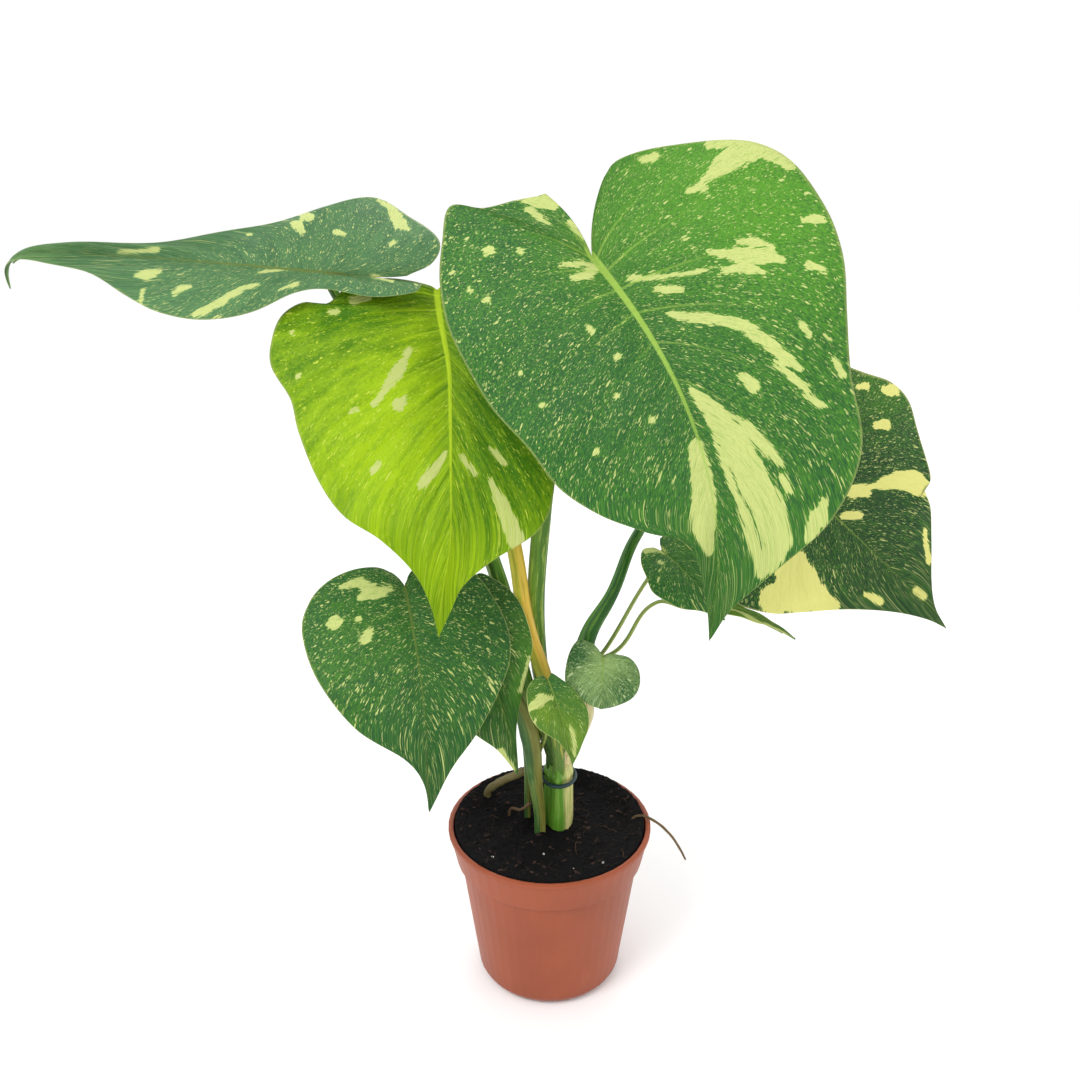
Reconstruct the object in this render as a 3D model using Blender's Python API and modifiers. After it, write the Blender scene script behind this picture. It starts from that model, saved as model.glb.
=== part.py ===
"""Potted thai constellation monstera: a young plant with ten blades in a nursery pot.

Metres, +Z up. The origin is the centre of the pot's base, and the plant's front is towards -Y.
"""
import math

import bmesh
import bpy
import numpy as np
from mathutils import Matrix, Vector

MM = 0.001

# The clearance that touching pieces keep
GAP = 0.3 * MM

# Pot
POT_HEIGHT = 100 * MM
RIM_RADIUS = 60 * MM
COLLAR_HEIGHT = 21 * MM
COLLAR_FOOT_RADIUS = 55.5 * MM
BODY_TOP_RADIUS = 53 * MM
BODY_FOOT_RADIUS = 43.5 * MM
FOOT_FILLET = 8 * MM
WALL = 1.4 * MM
RIM_LIP = 2.4 * MM
FLOOR = 1.8 * MM
DRAIN_RADIUS = 3.2 * MM
DRAIN_CIRCLE = 30 * MM
DRAIN_COUNT = 8

# Soil
SOIL_TOP = 96.5 * MM
SOIL_CROWN_RISE = 3 * MM
SOIL_HOLE_DEPTH = 22 * MM

# Crown, the short thick stem that carries the main stalks
CROWN_CENTRE = Vector((5.3 * MM, 1 * MM, 0))
CROWN_HALF_WIDTH = 8 * MM
CROWN_HALF_DEPTH = 10.5 * MM
CROWN_FOOT = 74 * MM
CROWN_TOP = 140 * MM

# Blades
BLADE_THICKNESS = 0.9 * MM
STALK_TO_BLADE = BLADE_THICKNESS + GAP


def leaf(junction, heading, pitch, roll, length, width, left, right, columns=18, rows=5, **form):
    """One blade: where its stalk joins it, how it is held, and its flat outline.

    junction is in metres; heading, pitch and roll turn the midrib and then the blade about it.
    left and right are the two halves of the outline, from the lobe's foot to the tip, each point
    as (along the midrib, out from it) in millimetres.
    """
    blade = dict(junction=Vector(junction), heading=heading, pitch=pitch, roll=roll,
                 length=length * MM, width=width * MM, left=left, right=right,
                 columns=columns, rows=rows, droop=20, sweep=0, curl=0, curl_from=0.8,
                 fold=(5, 5), cup=(-20, -20), least_bow=-1, waves=0, wave=(0, 0), phase=(0, 0))
    blade.update(form)
    return blade


LEAVES = {
    "leaf_front_large": leaf(
        (0.019, -0.020, 0.429), heading=-42, pitch=-40, roll=40, length=200, width=200,
        columns=24, rows=6, droop=40, sweep=-48, fold=(14, 2), cup=(-20, -35),
        left=((-27, 27), (-30, 37), (-25, 55), (-13, 76), (2, 94), (18, 103), (39, 102), (58, 95),
              (78, 83), (98, 74), (122, 69), (144, 52), (163, 26), (181, 8), (200, 0)),
        right=((-41, -2), (-46, 12), (-52, 27), (-64, 39), (-53, 52), (-36, 66), (-10, 77), (32, 81),
               (72, 75), (105, 68), (128, 53), (142, 33), (152, 13), (178, 5), (200, 0))),
    "leaf_left_long": leaf(
        (-0.111, 0.030, 0.415), heading=170, pitch=4, roll=-38, length=222, width=140,
        columns=24, rows=6, droop=7, curl=66, curl_from=0.74, fold=(10, 6), cup=(-40, -20), least_bow=0,
        left=((-46, 3), (-44, 10), (-26, 14), (0, 13), (16, 18), (36, 31), (62, 40), (84, 38),
              (108, 28), (136, 15), (172, 7), (222, 0)),
        right=((-36, 4), (-48, 13), (-48, 28), (-28, 46), (-4, 61), (20, 48), (52, 29), (86, 15),
               (124, 9), (168, 6), (222, 0))),
    "leaf_lime": leaf(
        (-0.0593, 0.030, 0.4064), heading=-86, pitch=-49, roll=0, length=183, width=170,
        columns=24, rows=6, droop=22, sweep=-2,
        left=((-4, 6), (-6, 20), (4, 36), (26, 46), (60, 52), (90, 57), (112, 57), (131, 49),
              (146, 26), (158, 12), (170, 6), (183, 0)),
        right=((-4, 6), (-6, 25), (-2, 46), (6, 57), (4, 70), (11, 81), (25, 86), (40, 86),
               (60, 75), (79, 70), (104, 60), (123, 47), (136, 28), (152, 12), (168, 4), (183, 0))),
    "leaf_lower_left": leaf(
        (-0.0763, -0.022, 0.261), heading=-71, pitch=-46, roll=0, length=119, width=106,
        columns=18, rows=5, droop=36, sweep=-6,
        left=((-7, 5), (-12, 13), (-11, 26), (-3, 38), (10, 46), (24, 51), (40, 51), (55, 45),
              (81, 26), (98, 11), (119, 0)),
        right=((-8, 5), (-12, 13), (-12, 27), (-8, 40), (1, 50), (17, 56), (45, 51), (72, 35),
               (90, 12), (103, 3), (119, 0))),
    "leaf_tucked": leaf(
        (-0.045, -0.010, 0.250), heading=-60, pitch=-48, roll=10, length=101, width=60,
        columns=14, rows=4, droop=30, fold=(6, 6), cup=(-25, -25),
        left=((-8, 4), (-10, 12), (-2, 21), (8, 27), (20, 29), (35, 27), (46, 21), (60, 12),
              (78, 4), (101, 0)),
        right=((-8, 4), (-10, 12), (-4, 20), (10, 27), (30, 29), (52, 26), (70, 19), (84, 8), (101, 0))),
    "leaf_small_centre": leaf(
        (-0.001, -0.030, 0.210), heading=-60, pitch=-45, roll=0, length=47, width=36,
        columns=12, rows=4, droop=30, fold=(12, 12), cup=(-15, -15),
        left=((-3, 3), (3, 8), (10, 12), (19, 15), (28, 14), (38, 7), (47, 0)),
        right=((-3, 2), (-2, 9), (3, 15), (13, 18), (23, 16), (32, 7), (40, 2), (47, 0))),
    "leaf_small_round": leaf(
        (0.0286, -0.016, 0.2165), heading=-95, pitch=-40, roll=0, length=29, width=40,
        columns=12, rows=4, droop=20, cup=(-30, -30),
        left=((-2, 4), (-1, 14), (5, 20), (14, 21), (22, 17), (27, 8), (29, 0)),
        right=((-8, 6), (-10, 14), (-3, 19), (10, 21), (19, 18), (26, 8), (29, 0))),
    "leaf_small_right": leaf(
        (0.0615, 0.004, 0.2705), heading=-38, pitch=-30, roll=10, length=50, width=44,
        columns=12, rows=4, droop=20,
        left=((-7, 5), (-7, 11), (-3, 15), (12, 16), (30, 10), (42, 4), (50, 0)),
        right=((-5, 3), (-7, 10), (-3, 16), (5, 21), (16, 25), (30, 20), (40, 9), (50, 0))),
    "leaf_narrow_right": leaf(
        (0.0772, 0.004, 0.2439), heading=-14, pitch=-9, roll=-6, length=62, width=22,
        columns=12, rows=3, droop=22, fold=(8, 8),
        left=((-5, 3), (-3, 9), (10, 11), (30, 10), (48, 5), (62, 0)),
        right=((-5, 3), (-3, 9), (10, 11), (30, 10), (48, 5), (62, 0))),
    "leaf_right_large": leaf(
        (0.122, 0.060, 0.312), heading=-8, pitch=-40, roll=58, length=167, width=180,
        columns=22, rows=6, droop=15,
        left=((-30, 12), (-34, 30), (-24, 50), (-6, 68), (28, 86), (42, 92), (57, 91), (71, 82),
              (88, 69), (97, 60), (97, 52), (108, 46), (121, 32), (136, 14), (150, 4), (167, 0)),
        right=((-30, 12), (-34, 30), (-26, 52), (-8, 72), (20, 83), (45, 79), (65, 70), (80, 57),
               (103, 36), (128, 18), (150, 6), (167, 0))),
}


def smooth(t):
    t = np.clip(t, 0.0, 1.0)
    return t * t * (3 - 2 * t)


def axes_of(blade):
    """The midrib's direction, the blade's left and its upper normal at the junction."""
    heading, pitch, roll = (math.radians(blade[key]) for key in ("heading", "pitch", "roll"))
    ahead = np.array((math.cos(pitch) * math.cos(heading), math.cos(pitch) * math.sin(heading),
                      math.sin(pitch)))
    level = np.array((-math.sin(heading), math.cos(heading), 0.0))
    above = np.cross(ahead, level)
    left = math.cos(roll) * level + math.sin(roll) * above
    return ahead, left, np.cross(ahead, left)


def midrib(blade, steps=240):
    """Stations along the bent midrib: distance, place, up and side, in the blade's own axes."""
    length = blade["length"]
    x = np.linspace(-0.6 * length, 1.1 * length, steps + 1)
    t = np.clip(x / length, 0, None)
    curl_from = blade["curl_from"]
    nod = -np.radians(blade["droop"]) * t ** 1.5
    nod = nod - np.radians(blade["curl"]) * smooth((t - curl_from) / (1 - curl_from))
    turn = np.radians(blade["sweep"]) * t ** 1.5
    tangent = np.c_[np.cos(nod) * np.cos(turn), np.cos(nod) * np.sin(turn), np.sin(nod)]
    middle = 0.5 * (tangent[1:] + tangent[:-1])
    place = np.vstack([np.zeros(3), np.cumsum(middle * np.diff(x)[:, None], axis=0)])
    place = place - place[np.argmin(np.abs(x))]
    up = np.array((0.0, 0.0, 1.0)) - tangent * tangent[:, 2:3]
    up = up / np.linalg.norm(up, axis=1)[:, None]
    return x, place, up, np.cross(up, tangent)


def bend(blade, along, out):
    """Flat places on the blade, along the midrib and out to the left, as places in the world."""
    x, place, up, side = midrib(blade)
    place, up, side = (np.stack([np.interp(along, x, line[:, axis]) for axis in range(3)], axis=-1)
                       for line in (place, up, side))
    half = 0.5 * blade["width"]
    far = np.abs(out)
    on_left = out >= 0
    fold, cup, wave, phase = (np.where(on_left, *blade[key]) for key in ("fold", "cup", "wave", "phase"))
    fold = np.radians(fold)
    cup = np.radians(cup) / half
    across = (np.sin(fold + cup * far) - np.sin(fold)) / cup
    lift = (np.cos(fold) - np.cos(fold + cup * far)) / cup
    turns = blade["waves"] * along / blade["length"] + phase
    lift = lift + wave * MM * np.clip(far / half, 0, 1.4) ** 2 * np.sin(2 * math.pi * turns)
    local = place + side * np.where(on_left, across, -across)[..., None] + up * lift[..., None]
    return np.array(blade["junction"]) + local @ np.array(axes_of(blade))


def margin(points, count):
    """A smooth line through an outline's points, as count places evenly spaced along it."""
    knots = np.array(points, float) * MM
    ends = np.vstack([2 * knots[0] - knots[1], knots, 2 * knots[-1] - knots[-2]])
    line = []
    for a, b, c, d in zip(ends, ends[1:], ends[2:], ends[3:]):
        t = np.linspace(0, 1, 24, endpoint=False)[:, None]
        line.append(0.5 * (2 * b + (c - a) * t + (2 * a - 5 * b + 4 * c - d) * t ** 2
                           + (3 * b - a - 3 * c + d) * t ** 3))
    line = np.vstack([*line, knots[-1:]])
    run = np.r_[0, np.cumsum(np.linalg.norm(np.diff(line, axis=0), axis=1))]
    steps = np.linspace(0, run[-1], count)
    return np.stack([np.interp(steps, run, line[:, axis]) for axis in range(2)], axis=-1)


def half_blade(blade, side):
    """Flat places of one half, in columns that leave the midrib as the side veins do."""
    edge = margin(blade["left" if side > 0 else "right"], blade["columns"] + 1)
    k = np.linspace(0, 1, blade["columns"] + 1)[:, None]
    root = np.c_[blade["length"] * k ** 1.7, np.zeros_like(k)]
    chord = edge - root
    bow = 0.12 * np.maximum(2 * smooth(k / 0.35) - 1, blade["least_bow"]) * (1 - smooth((k - 0.8) / 0.2))
    middle = 0.5 * (root + edge) + bow * np.c_[chord[:, 1], -chord[:, 0]]
    t = np.linspace(0, 1, blade["rows"] + 1)[None, :, None]
    flat = (1 - t) ** 2 * root[:, None] + 2 * t * (1 - t) * middle[:, None] + t ** 2 * edge[:, None]
    flat[..., 1] *= side
    return flat


def material(name, colour, roughness):
    surface = bpy.data.materials.new(name)
    surface.use_nodes = True
    shader = surface.node_tree.nodes["Principled BSDF"]
    shader.inputs["Base Color"].default_value = (*colour, 1)
    shader.inputs["Roughness"].default_value = roughness
    surface.diffuse_color = (*colour, 1)
    return surface


def add(name, mesh, look, collection):
    thing = bpy.data.objects.new(name, mesh)
    thing.data.materials.append(look)
    collection.objects.link(thing)
    return thing


def mesh_from(name, shape):
    mesh = bpy.data.meshes.new(name)
    shape.to_mesh(mesh)
    shape.free()
    return mesh


def turned(name, profile, look, collection, steps=48):
    """A profile of (radius, height) points turned about Z, which runs down its outer side."""
    shape = bmesh.new()
    line = [shape.verts.new((radius, 0, height)) for radius, height in profile]
    for first, second in zip(line, line[1:]):
        shape.edges.new((first, second))
    thing = add(name, mesh_from(name, shape), look, collection)
    screw = thing.modifiers.new("Turn", "SCREW")
    screw.steps = steps
    screw.render_steps = steps
    screw.use_merge_vertices = True
    screw.merge_threshold = 0.00001
    return thing


def fillet(centre, radius, start, end, steps):
    """Points of an arc in a profile, with its angles in degrees."""
    angles = (math.radians(start + (end - start) * step / steps) for step in range(steps + 1))
    return [(centre[0] + radius * math.cos(a), centre[1] + radius * math.sin(a)) for a in angles]


def cylinder(name, foot, top, radius, collection, sides=20):
    """A plain cylinder between two points, used as a cutter."""
    axis = top - foot
    shape = bmesh.new()
    bmesh.ops.create_cone(shape, cap_ends=True, segments=sides, radius1=radius, radius2=radius,
                          depth=axis.length)
    place = Matrix.Translation((foot + top) / 2) @ axis.to_track_quat("Z", "Y").to_matrix().to_4x4()
    bmesh.ops.transform(shape, matrix=place, verts=shape.verts)
    cutter = bpy.data.objects.new(name, mesh_from(name, shape))
    collection.objects.link(cutter)
    cutter.hide_render = True
    cutter.display_type = "WIRE"
    return cutter


def cut(thing, cutter):
    boolean = thing.modifiers.new("Cut " + cutter.name, "BOOLEAN")
    boolean.operation = "DIFFERENCE"
    boolean.object = cutter


def inner_radius(height):
    """The pot wall's inner radius at a height."""
    if height > POT_HEIGHT - COLLAR_HEIGHT:
        share = (height - POT_HEIGHT + COLLAR_HEIGHT) / COLLAR_HEIGHT
        return COLLAR_FOOT_RADIUS + share * (RIM_RADIUS - WALL - COLLAR_FOOT_RADIUS) - WALL
    share = height / (POT_HEIGHT - COLLAR_HEIGHT)
    return BODY_FOOT_RADIUS + share * (BODY_TOP_RADIUS - BODY_FOOT_RADIUS) - WALL


def make_pot(look, collection, cutters):
    """A thin wall with a stepped collar and a rolled lip, and drainage holes round a flat base."""
    collar_foot = POT_HEIGHT - COLLAR_HEIGHT
    outer = [(RIM_RADIUS - WALL, POT_HEIGHT), (RIM_RADIUS, POT_HEIGHT - 0.6 * MM),
             (RIM_RADIUS, POT_HEIGHT - RIM_LIP), (RIM_RADIUS - 0.9 * MM, POT_HEIGHT - RIM_LIP - 0.5 * MM),
             (COLLAR_FOOT_RADIUS, collar_foot + 0.8 * MM), (COLLAR_FOOT_RADIUS - 0.8 * MM, collar_foot),
             (BODY_TOP_RADIUS, collar_foot - 0.4 * MM)]
    foot = fillet((BODY_FOOT_RADIUS - FOOT_FILLET, FOOT_FILLET), FOOT_FILLET, 0, -90, 5)
    inside = fillet((BODY_FOOT_RADIUS - FOOT_FILLET, FOOT_FILLET), FOOT_FILLET - FLOOR, -90, 0, 4)
    inner = [(inner_radius(collar_foot - 1.5 * MM), collar_foot - 1.5 * MM),
             (inner_radius(collar_foot + 0.5 * MM), collar_foot + 0.5 * MM),
             (RIM_RADIUS - 2 * WALL, POT_HEIGHT - 0.5 * MM)]
    profile = [(0, FLOOR), *inside, *inner, *outer, *foot, (0, 0)]
    pot = turned("pot", profile, look, collection, steps=48)
    for number in range(DRAIN_COUNT):
        angle = 2 * math.pi * (number + 0.37) / DRAIN_COUNT
        centre = Vector((DRAIN_CIRCLE * math.cos(angle), DRAIN_CIRCLE * math.sin(angle), 0))
        foot, top = centre - Vector((0, 0, 5 * MM)), centre + Vector((0, 0, 5 * MM))
        cut(pot, cylinder(f"drain_cutter_{number + 1}", foot, top, DRAIN_RADIUS, cutters, sides=12))
    return pot


def make_soil(look, collection):
    """The soil's block: it follows the pot's inside, with a low uneven mound on top."""
    low = FLOOR + GAP
    collar_foot = POT_HEIGHT - COLLAR_HEIGHT
    step = inner_radius(collar_foot - 2.5 * MM) - 2 * GAP
    rim = inner_radius(SOIL_TOP - MM) - 0.1 * MM - GAP
    foot = fillet((BODY_FOOT_RADIUS - FOOT_FILLET, FOOT_FILLET), FOOT_FILLET - FLOOR - GAP, 0, -90, 4)
    mound = []
    for share in (0, 0.2, 0.4, 0.6, 0.8, 0.94):
        mound.append((rim * share, SOIL_TOP + SOIL_CROWN_RISE * (1 - share * share) ** 2))
    profile = [*mound, (rim, SOIL_TOP - 1 * MM), (step, collar_foot - 2.5 * MM), *foot, (0, low)]
    soil = turned("soil", profile, look, collection, steps=48)
    soil = as_mesh(soil, collection)
    for corner in soil.data.vertices:
        place = corner.co
        if place.z > SOIL_TOP - 0.4 * MM:
            lump = math.sin(95 * place.x + 1.1) * math.cos(120 * place.y - 0.4)
            lump += 0.6 * math.sin(260 * place.x - 180 * place.y)
            place.z += 1.2 * MM * lump * (1 - (place.xy.length / rim) ** 4)
    return soil


def as_mesh(thing, collection):
    """The thing with its modifiers or its bevel made real, under the same name."""
    bpy.context.view_layer.update()
    graph = bpy.context.evaluated_depsgraph_get()
    mesh = bpy.data.meshes.new_from_object(thing.evaluated_get(graph))
    shape = bmesh.new()
    shape.from_mesh(mesh)
    bmesh.ops.remove_doubles(shape, verts=shape.verts, dist=0.00001)
    shape.to_mesh(mesh)
    shape.free()
    name, place = thing.name, thing.matrix_world.copy()
    bpy.data.objects.remove(thing, do_unlink=True)
    solid = bpy.data.objects.new(name, mesh)
    solid.matrix_world = place
    collection.objects.link(solid)
    return solid


def make_blade(name, blade, look, collection):
    """A grid in the blade's own lines, bent to its form, joined at the tip and given its thickness."""
    columns, rows = blade["columns"], blade["rows"]
    left, right = half_blade(blade, 1), half_blade(blade, -1)
    flat = np.concatenate([right[:, :0:-1], left], axis=1)
    world = bend(blade, flat[..., 0], flat[..., 1])
    shape = bmesh.new()
    bmesh.ops.create_grid(shape, x_segments=columns, y_segments=2 * rows, size=1)
    shape.verts.ensure_lookup_table()
    for corner in shape.verts:
        column = round((corner.co.x + 1) / 2 * columns)
        row = round((corner.co.y + 1) / 2 * 2 * rows)
        corner.co = world[column, row]
    bmesh.ops.remove_doubles(shape, verts=shape.verts, dist=0.00005)
    bmesh.ops.triangulate(shape, faces=shape.faces)
    thing = add(name, mesh_from(name, shape), look, collection)
    thing.data.shade_smooth()
    shell = thing.modifiers.new("Thickness", "SOLIDIFY")
    shell.thickness = BLADE_THICKNESS
    shell.offset = -1
    shell.use_even_offset = True
    return thing


def tube(name, points, look, collection, sides=2, resolution=3):
    """A tapered round stalk through points, each (place, radius), with closed ends."""
    path = bpy.data.curves.new(name, "CURVE")
    path.dimensions = "3D"
    path.bevel_depth = 1
    path.bevel_resolution = sides
    path.use_fill_caps = True
    path.resolution_u = resolution
    path.twist_mode = "MINIMUM"
    spline = path.splines.new("BEZIER")
    spline.bezier_points.add(len(points) - 1)
    for knot, (place, radius) in zip(spline.bezier_points, points):
        knot.co = place
        knot.radius = radius
        knot.handle_left_type = "AUTO"
        knot.handle_right_type = "AUTO"
    return add(name, path, look, collection)


def under(blade, along, gap):
    """A place below the blade's midrib, and the way down from the blade there."""
    here, ahead, beside = (Vector(p) for p in bend(blade, np.array((along, along + MM, along)),
                                                   np.array((0.0, 0.0, MM))))
    down = (beside - here).cross(ahead - here).normalized()
    return here + down * gap, down


def make_stalk(name, blade, way, head_radius, look, collection):
    """A stalk along its way, each (place, radius), to a knee under its blade's junction."""
    head, down = under(blade, 2.2 * head_radius, STALK_TO_BLADE)
    knee = head + down * 4 * head_radius
    return tube(name, [*way, (knee, head_radius), (head, head_radius)], look, collection)


def make_crown(look, collection):
    """A short oval stem with a flat rounded top that the four main stalks stand on."""
    height = CROWN_TOP - CROWN_FOOT
    shape = bmesh.new()
    bmesh.ops.create_cone(shape, cap_ends=True, segments=24, radius1=CROWN_HALF_WIDTH + MM,
                          radius2=CROWN_HALF_WIDTH, depth=height)
    middle = CROWN_CENTRE + Vector((0, 0, CROWN_FOOT + height / 2))
    oval = Matrix.Diagonal((1, CROWN_HALF_DEPTH / CROWN_HALF_WIDTH, 1, 1))
    bmesh.ops.transform(shape, matrix=Matrix.Translation(middle) @ oval, verts=shape.verts)
    top = [edge for edge in shape.edges if all(corner.co.z > CROWN_TOP - MM for corner in edge.verts)]
    bmesh.ops.bevel(shape, geom=top, offset=1.2 * MM, segments=2, affect="EDGES", profile=0.5)
    return add("crown", mesh_from("crown", shape), look, collection)


def crown_cutter(collection):
    """The crown's hole in the soil, one clearance larger all round."""
    depth = 40 * MM
    radius = CROWN_HALF_WIDTH + MM + GAP
    shape = bmesh.new()
    bmesh.ops.create_cone(shape, cap_ends=True, segments=24, radius1=radius, radius2=radius, depth=depth)
    foot_depth = (CROWN_HALF_WIDTH + MM) * CROWN_HALF_DEPTH / CROWN_HALF_WIDTH
    oval = Matrix.Diagonal((1, (foot_depth + GAP) / radius, 1, 1))
    middle = CROWN_CENTRE + Vector((0, 0, CROWN_FOOT - GAP + depth / 2))
    bmesh.ops.transform(shape, matrix=Matrix.Translation(middle) @ oval, verts=shape.verts)
    cutter = bpy.data.objects.new("crown_cutter", mesh_from("crown_cutter", shape))
    collection.objects.link(cutter)
    cutter.hide_render = True
    cutter.display_type = "WIRE"
    return cutter


def make_tie(look, collection):
    """A soft ring round the crown."""
    thick = 1.1 * MM
    reach = CROWN_HALF_WIDTH + 0.4 * MM + GAP + thick
    bpy.ops.mesh.primitive_torus_add(major_radius=reach, minor_radius=thick, major_segments=32,
                                     minor_segments=8)
    tie = bpy.context.object
    tie.name = "tie"
    for owner in tie.users_collection:
        owner.objects.unlink(tie)
    collection.objects.link(tie)
    tie.location = CROWN_CENTRE + Vector((0, 0, 131 * MM))
    oval = (CROWN_HALF_DEPTH + 0.4 * MM + GAP + thick) / reach
    for corner in tie.data.vertices:
        corner.co.y *= oval
    tie.data.materials.append(look)
    return tie


# The four main stalks: foot on the crown from its centre, then each place on the way up with its radius
MAIN_STALKS = {
    "stalk_left_long": ("leaf_left_long", (-4.2, 0), 3.4,
                        (((-12, 4, 183), 4.6), ((-29, 14, 251), 4.6), ((-74, 56, 348), 3)), 2.2),
    "stalk_lime": ("leaf_lime", (0, -6.1), 3.4,
                   (((-3, -3, 197), 4.4), ((-12, 1, 224), 4.5), ((-19, 7, 268), 4.2), ((-38, 38, 352), 3)), 2.4),
    "stalk_front_large": ("leaf_front_large", (0, 6.1), 3.4,
                          (((-6, 10, 200), 4.8), ((-5, 8, 284), 5), ((8, 6, 360), 3.4)), 2.6),
    "stalk_right_large": ("leaf_right_large", (4.2, 0), 3.4,
                          (((12.5, 0.5, 152), 5.2), ((17, 0, 172), 8), ((21, 4, 217), 4.4), ((35, 10, 243), 3.2),
                           ((48, 22, 272), 2.9), ((80, 66, 292), 2.4)), 1.9),
}

# The thinner stalks: foot in the soil, then each place on the way up with its radius
SOIL_STALKS = {
    "stalk_lower_left": ("leaf_lower_left", (-5.6, -7.6), 3.4,
                         (((-5.9, -8, 113), 3.4), ((-7.8, -10, 131), 4.0), ((-11.8, -10.5, 166), 5.4),
                          ((-19, -8, 186), 3.6), ((-30, -3, 203), 2.4), ((-60, 6, 240), 1.8)), 1.4),
    "stalk_tucked": ("leaf_tucked", (-13, 5), 1.9,
                     (((-14, 3, 150), 1.9), ((-20, 1.5, 186), 1.9), ((-31, 5, 212), 1.7)), 1.3),
    "stalk_small_centre": ("leaf_small_centre", (-7, 5.5), 1.3,
                           (((-8, 3.2, 131), 1.3), ((-6.5, -1.2, 146), 1.3), ((-3, -8.5, 162), 1.3),
                            ((0, -16, 188), 1.2)), 1.0),
    "stalk_small_round": ("leaf_small_round", (13, 14), 1.4,
                          (((14, 13, 150), 1.4), ((21, 11.5, 182), 1.3), ((28, 5, 204), 1.1)), 0.9),
    "stalk_small_right": ("leaf_small_right", (8.5, 18), 1.3,
                          (((10, 18, 150), 1.3), ((21, 17, 188), 1.2), ((33, 13, 209), 1.2),
                           ((53, 11, 249), 1.1)), 1.0),
    "stalk_narrow_right": ("leaf_narrow_right", (3, 19), 1.3,
                           (((4, 20, 150), 1.3), ((20, 22, 190), 1.2), ((39, 16, 205), 1.2),
                            ((60, 13, 236), 1.1)), 1.0),
}


def in_mm(place):
    return Vector(place) * MM


def on_the_way(places):
    """Places and radii in millimetres, as they are in metres."""
    return [(in_mm(place), radius * MM) for place, radius in places]


def main_stalks(look, collection):
    for name, (leaf_name, foot, foot_radius, places, head_radius) in MAIN_STALKS.items():
        start = CROWN_CENTRE + in_mm((*foot, 0)) + Vector((0, 0, CROWN_TOP + GAP))
        way = [(start, foot_radius * MM), (start + in_mm((0, 0, 5)), foot_radius * MM), *on_the_way(places)]
        make_stalk(name, LEAVES[leaf_name], way, head_radius * MM, look, collection)


def soil_stalks(look, collection, cutters):
    holes = []
    for name, (leaf_name, foot, foot_radius, places, head_radius) in SOIL_STALKS.items():
        start = in_mm((*foot, 0)) + Vector((0, 0, SOIL_TOP - SOIL_HOLE_DEPTH + GAP))
        collar = in_mm((*foot, 0)) + Vector((0, 0, SOIL_TOP + 8 * MM))
        way = [(start, foot_radius * MM), ((start + collar) / 2, foot_radius * MM), (collar, foot_radius * MM),
               *on_the_way(places)]
        make_stalk(name, LEAVES[leaf_name], way, head_radius * MM, look, collection)
        holes.append(soil_hole(name, foot, foot_radius * MM, cutters))
    return holes


def soil_hole(name, foot, radius, cutters):
    low = in_mm((*foot, 0)) + Vector((0, 0, SOIL_TOP - SOIL_HOLE_DEPTH))
    high = low + Vector((0, 0, SOIL_HOLE_DEPTH + 12 * MM))
    return cylinder(name + "_cutter", low, high, radius + GAP + 0.15 * MM, cutters, sides=12)


# Stub and roots: foot in the soil, then each place with its radius
RUNNERS = {
    "stub": ((-38, 27.5), 2.4, (((-38, 27.5, 101), 2.4), ((-34, 25.5, 107), 2.5), ((-18, 15, 123), 2.5),
                              ((-7, 9, 132), 2.4))),
    "root_left": ((-24, 10), 0.8, (((-23.5, 9.5, 101), 0.8), ((-17, 1, 107), 0.9), ((-11.4, -8.3, 118), 1.0))),
    "root_over_rim": ((50, 2), 0.8, (((50, 2, 100), 0.8), ((55, 1, 102.6), 0.8), ((60, 0, 101.2), 0.8),
                                     ((70, -4, 95), 0.8), ((78, -7, 84), 0.7), ((81, -8, 78), 0.5))),
}


def runners(look, collection, cutters):
    holes = []
    for name, (foot, radius, places) in RUNNERS.items():
        start = in_mm((*foot, 0)) + Vector((0, 0, SOIL_TOP - SOIL_HOLE_DEPTH + GAP))
        level = in_mm((*foot, 0)) + Vector((0, 0, SOIL_TOP - 2 * MM))
        points = [(start, radius * MM), (level, radius * MM)]
        points += [(in_mm(place), thick * MM) for place, thick in places]
        tube(name, points, look, collection)
        holes.append(soil_hole(name, foot, radius * MM + 0.3 * MM, cutters))
    return holes


def main():
    for thing in list(bpy.data.objects):
        bpy.data.objects.remove(thing, do_unlink=True)
    plant = bpy.data.collections.new("Potted monstera")
    cutters = bpy.data.collections.new("Cutters")
    for collection in (plant, cutters):
        bpy.context.scene.collection.children.link(collection)

    terracotta = material("Terracotta plastic", (0.50, 0.14, 0.07), 0.45)
    dark_soil = material("Soil", (0.012, 0.009, 0.009), 0.95)
    dark_leaf = material("Dark leaf", (0.03, 0.13, 0.05), 0.4)
    lime_leaf = material("Lime leaf", (0.27, 0.45, 0.02), 0.3)
    green_stalk = material("Green stalk", (0.12, 0.25, 0.05), 0.45)
    cream_stalk = material("Cream stalk", (0.62, 0.55, 0.25), 0.45)
    brown = material("Dry root", (0.30, 0.20, 0.09), 0.8)
    teal = material("Teal tie", (0.01, 0.06, 0.07), 0.5)

    make_pot(terracotta, plant, cutters)
    soil = make_soil(dark_soil, plant)
    soil.data.materials.append(dark_soil)
    make_crown(green_stalk, plant)
    make_tie(teal, plant)
    for name, blade in LEAVES.items():
        make_blade(name, blade, lime_leaf if name == "leaf_lime" else dark_leaf, plant)
    main_stalks(cream_stalk, plant)
    holes = [crown_cutter(cutters)]
    holes += soil_stalks(green_stalk, plant, cutters)
    holes += runners(brown, plant, cutters)
    for hole in holes:
        cut(soil, hole)


if __name__ == "__main__":
    main()
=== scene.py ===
"""Looks of the potted thai constellation monstera: ten marbled blades on their stalks in a pot.

Metres, +Z up. The origin is the centre of the pot's base, and the plant's front is towards -Y.
Flat places on a blade are (along the midrib, out from it to the left) in millimetres.
"""
import math
import random

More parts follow.
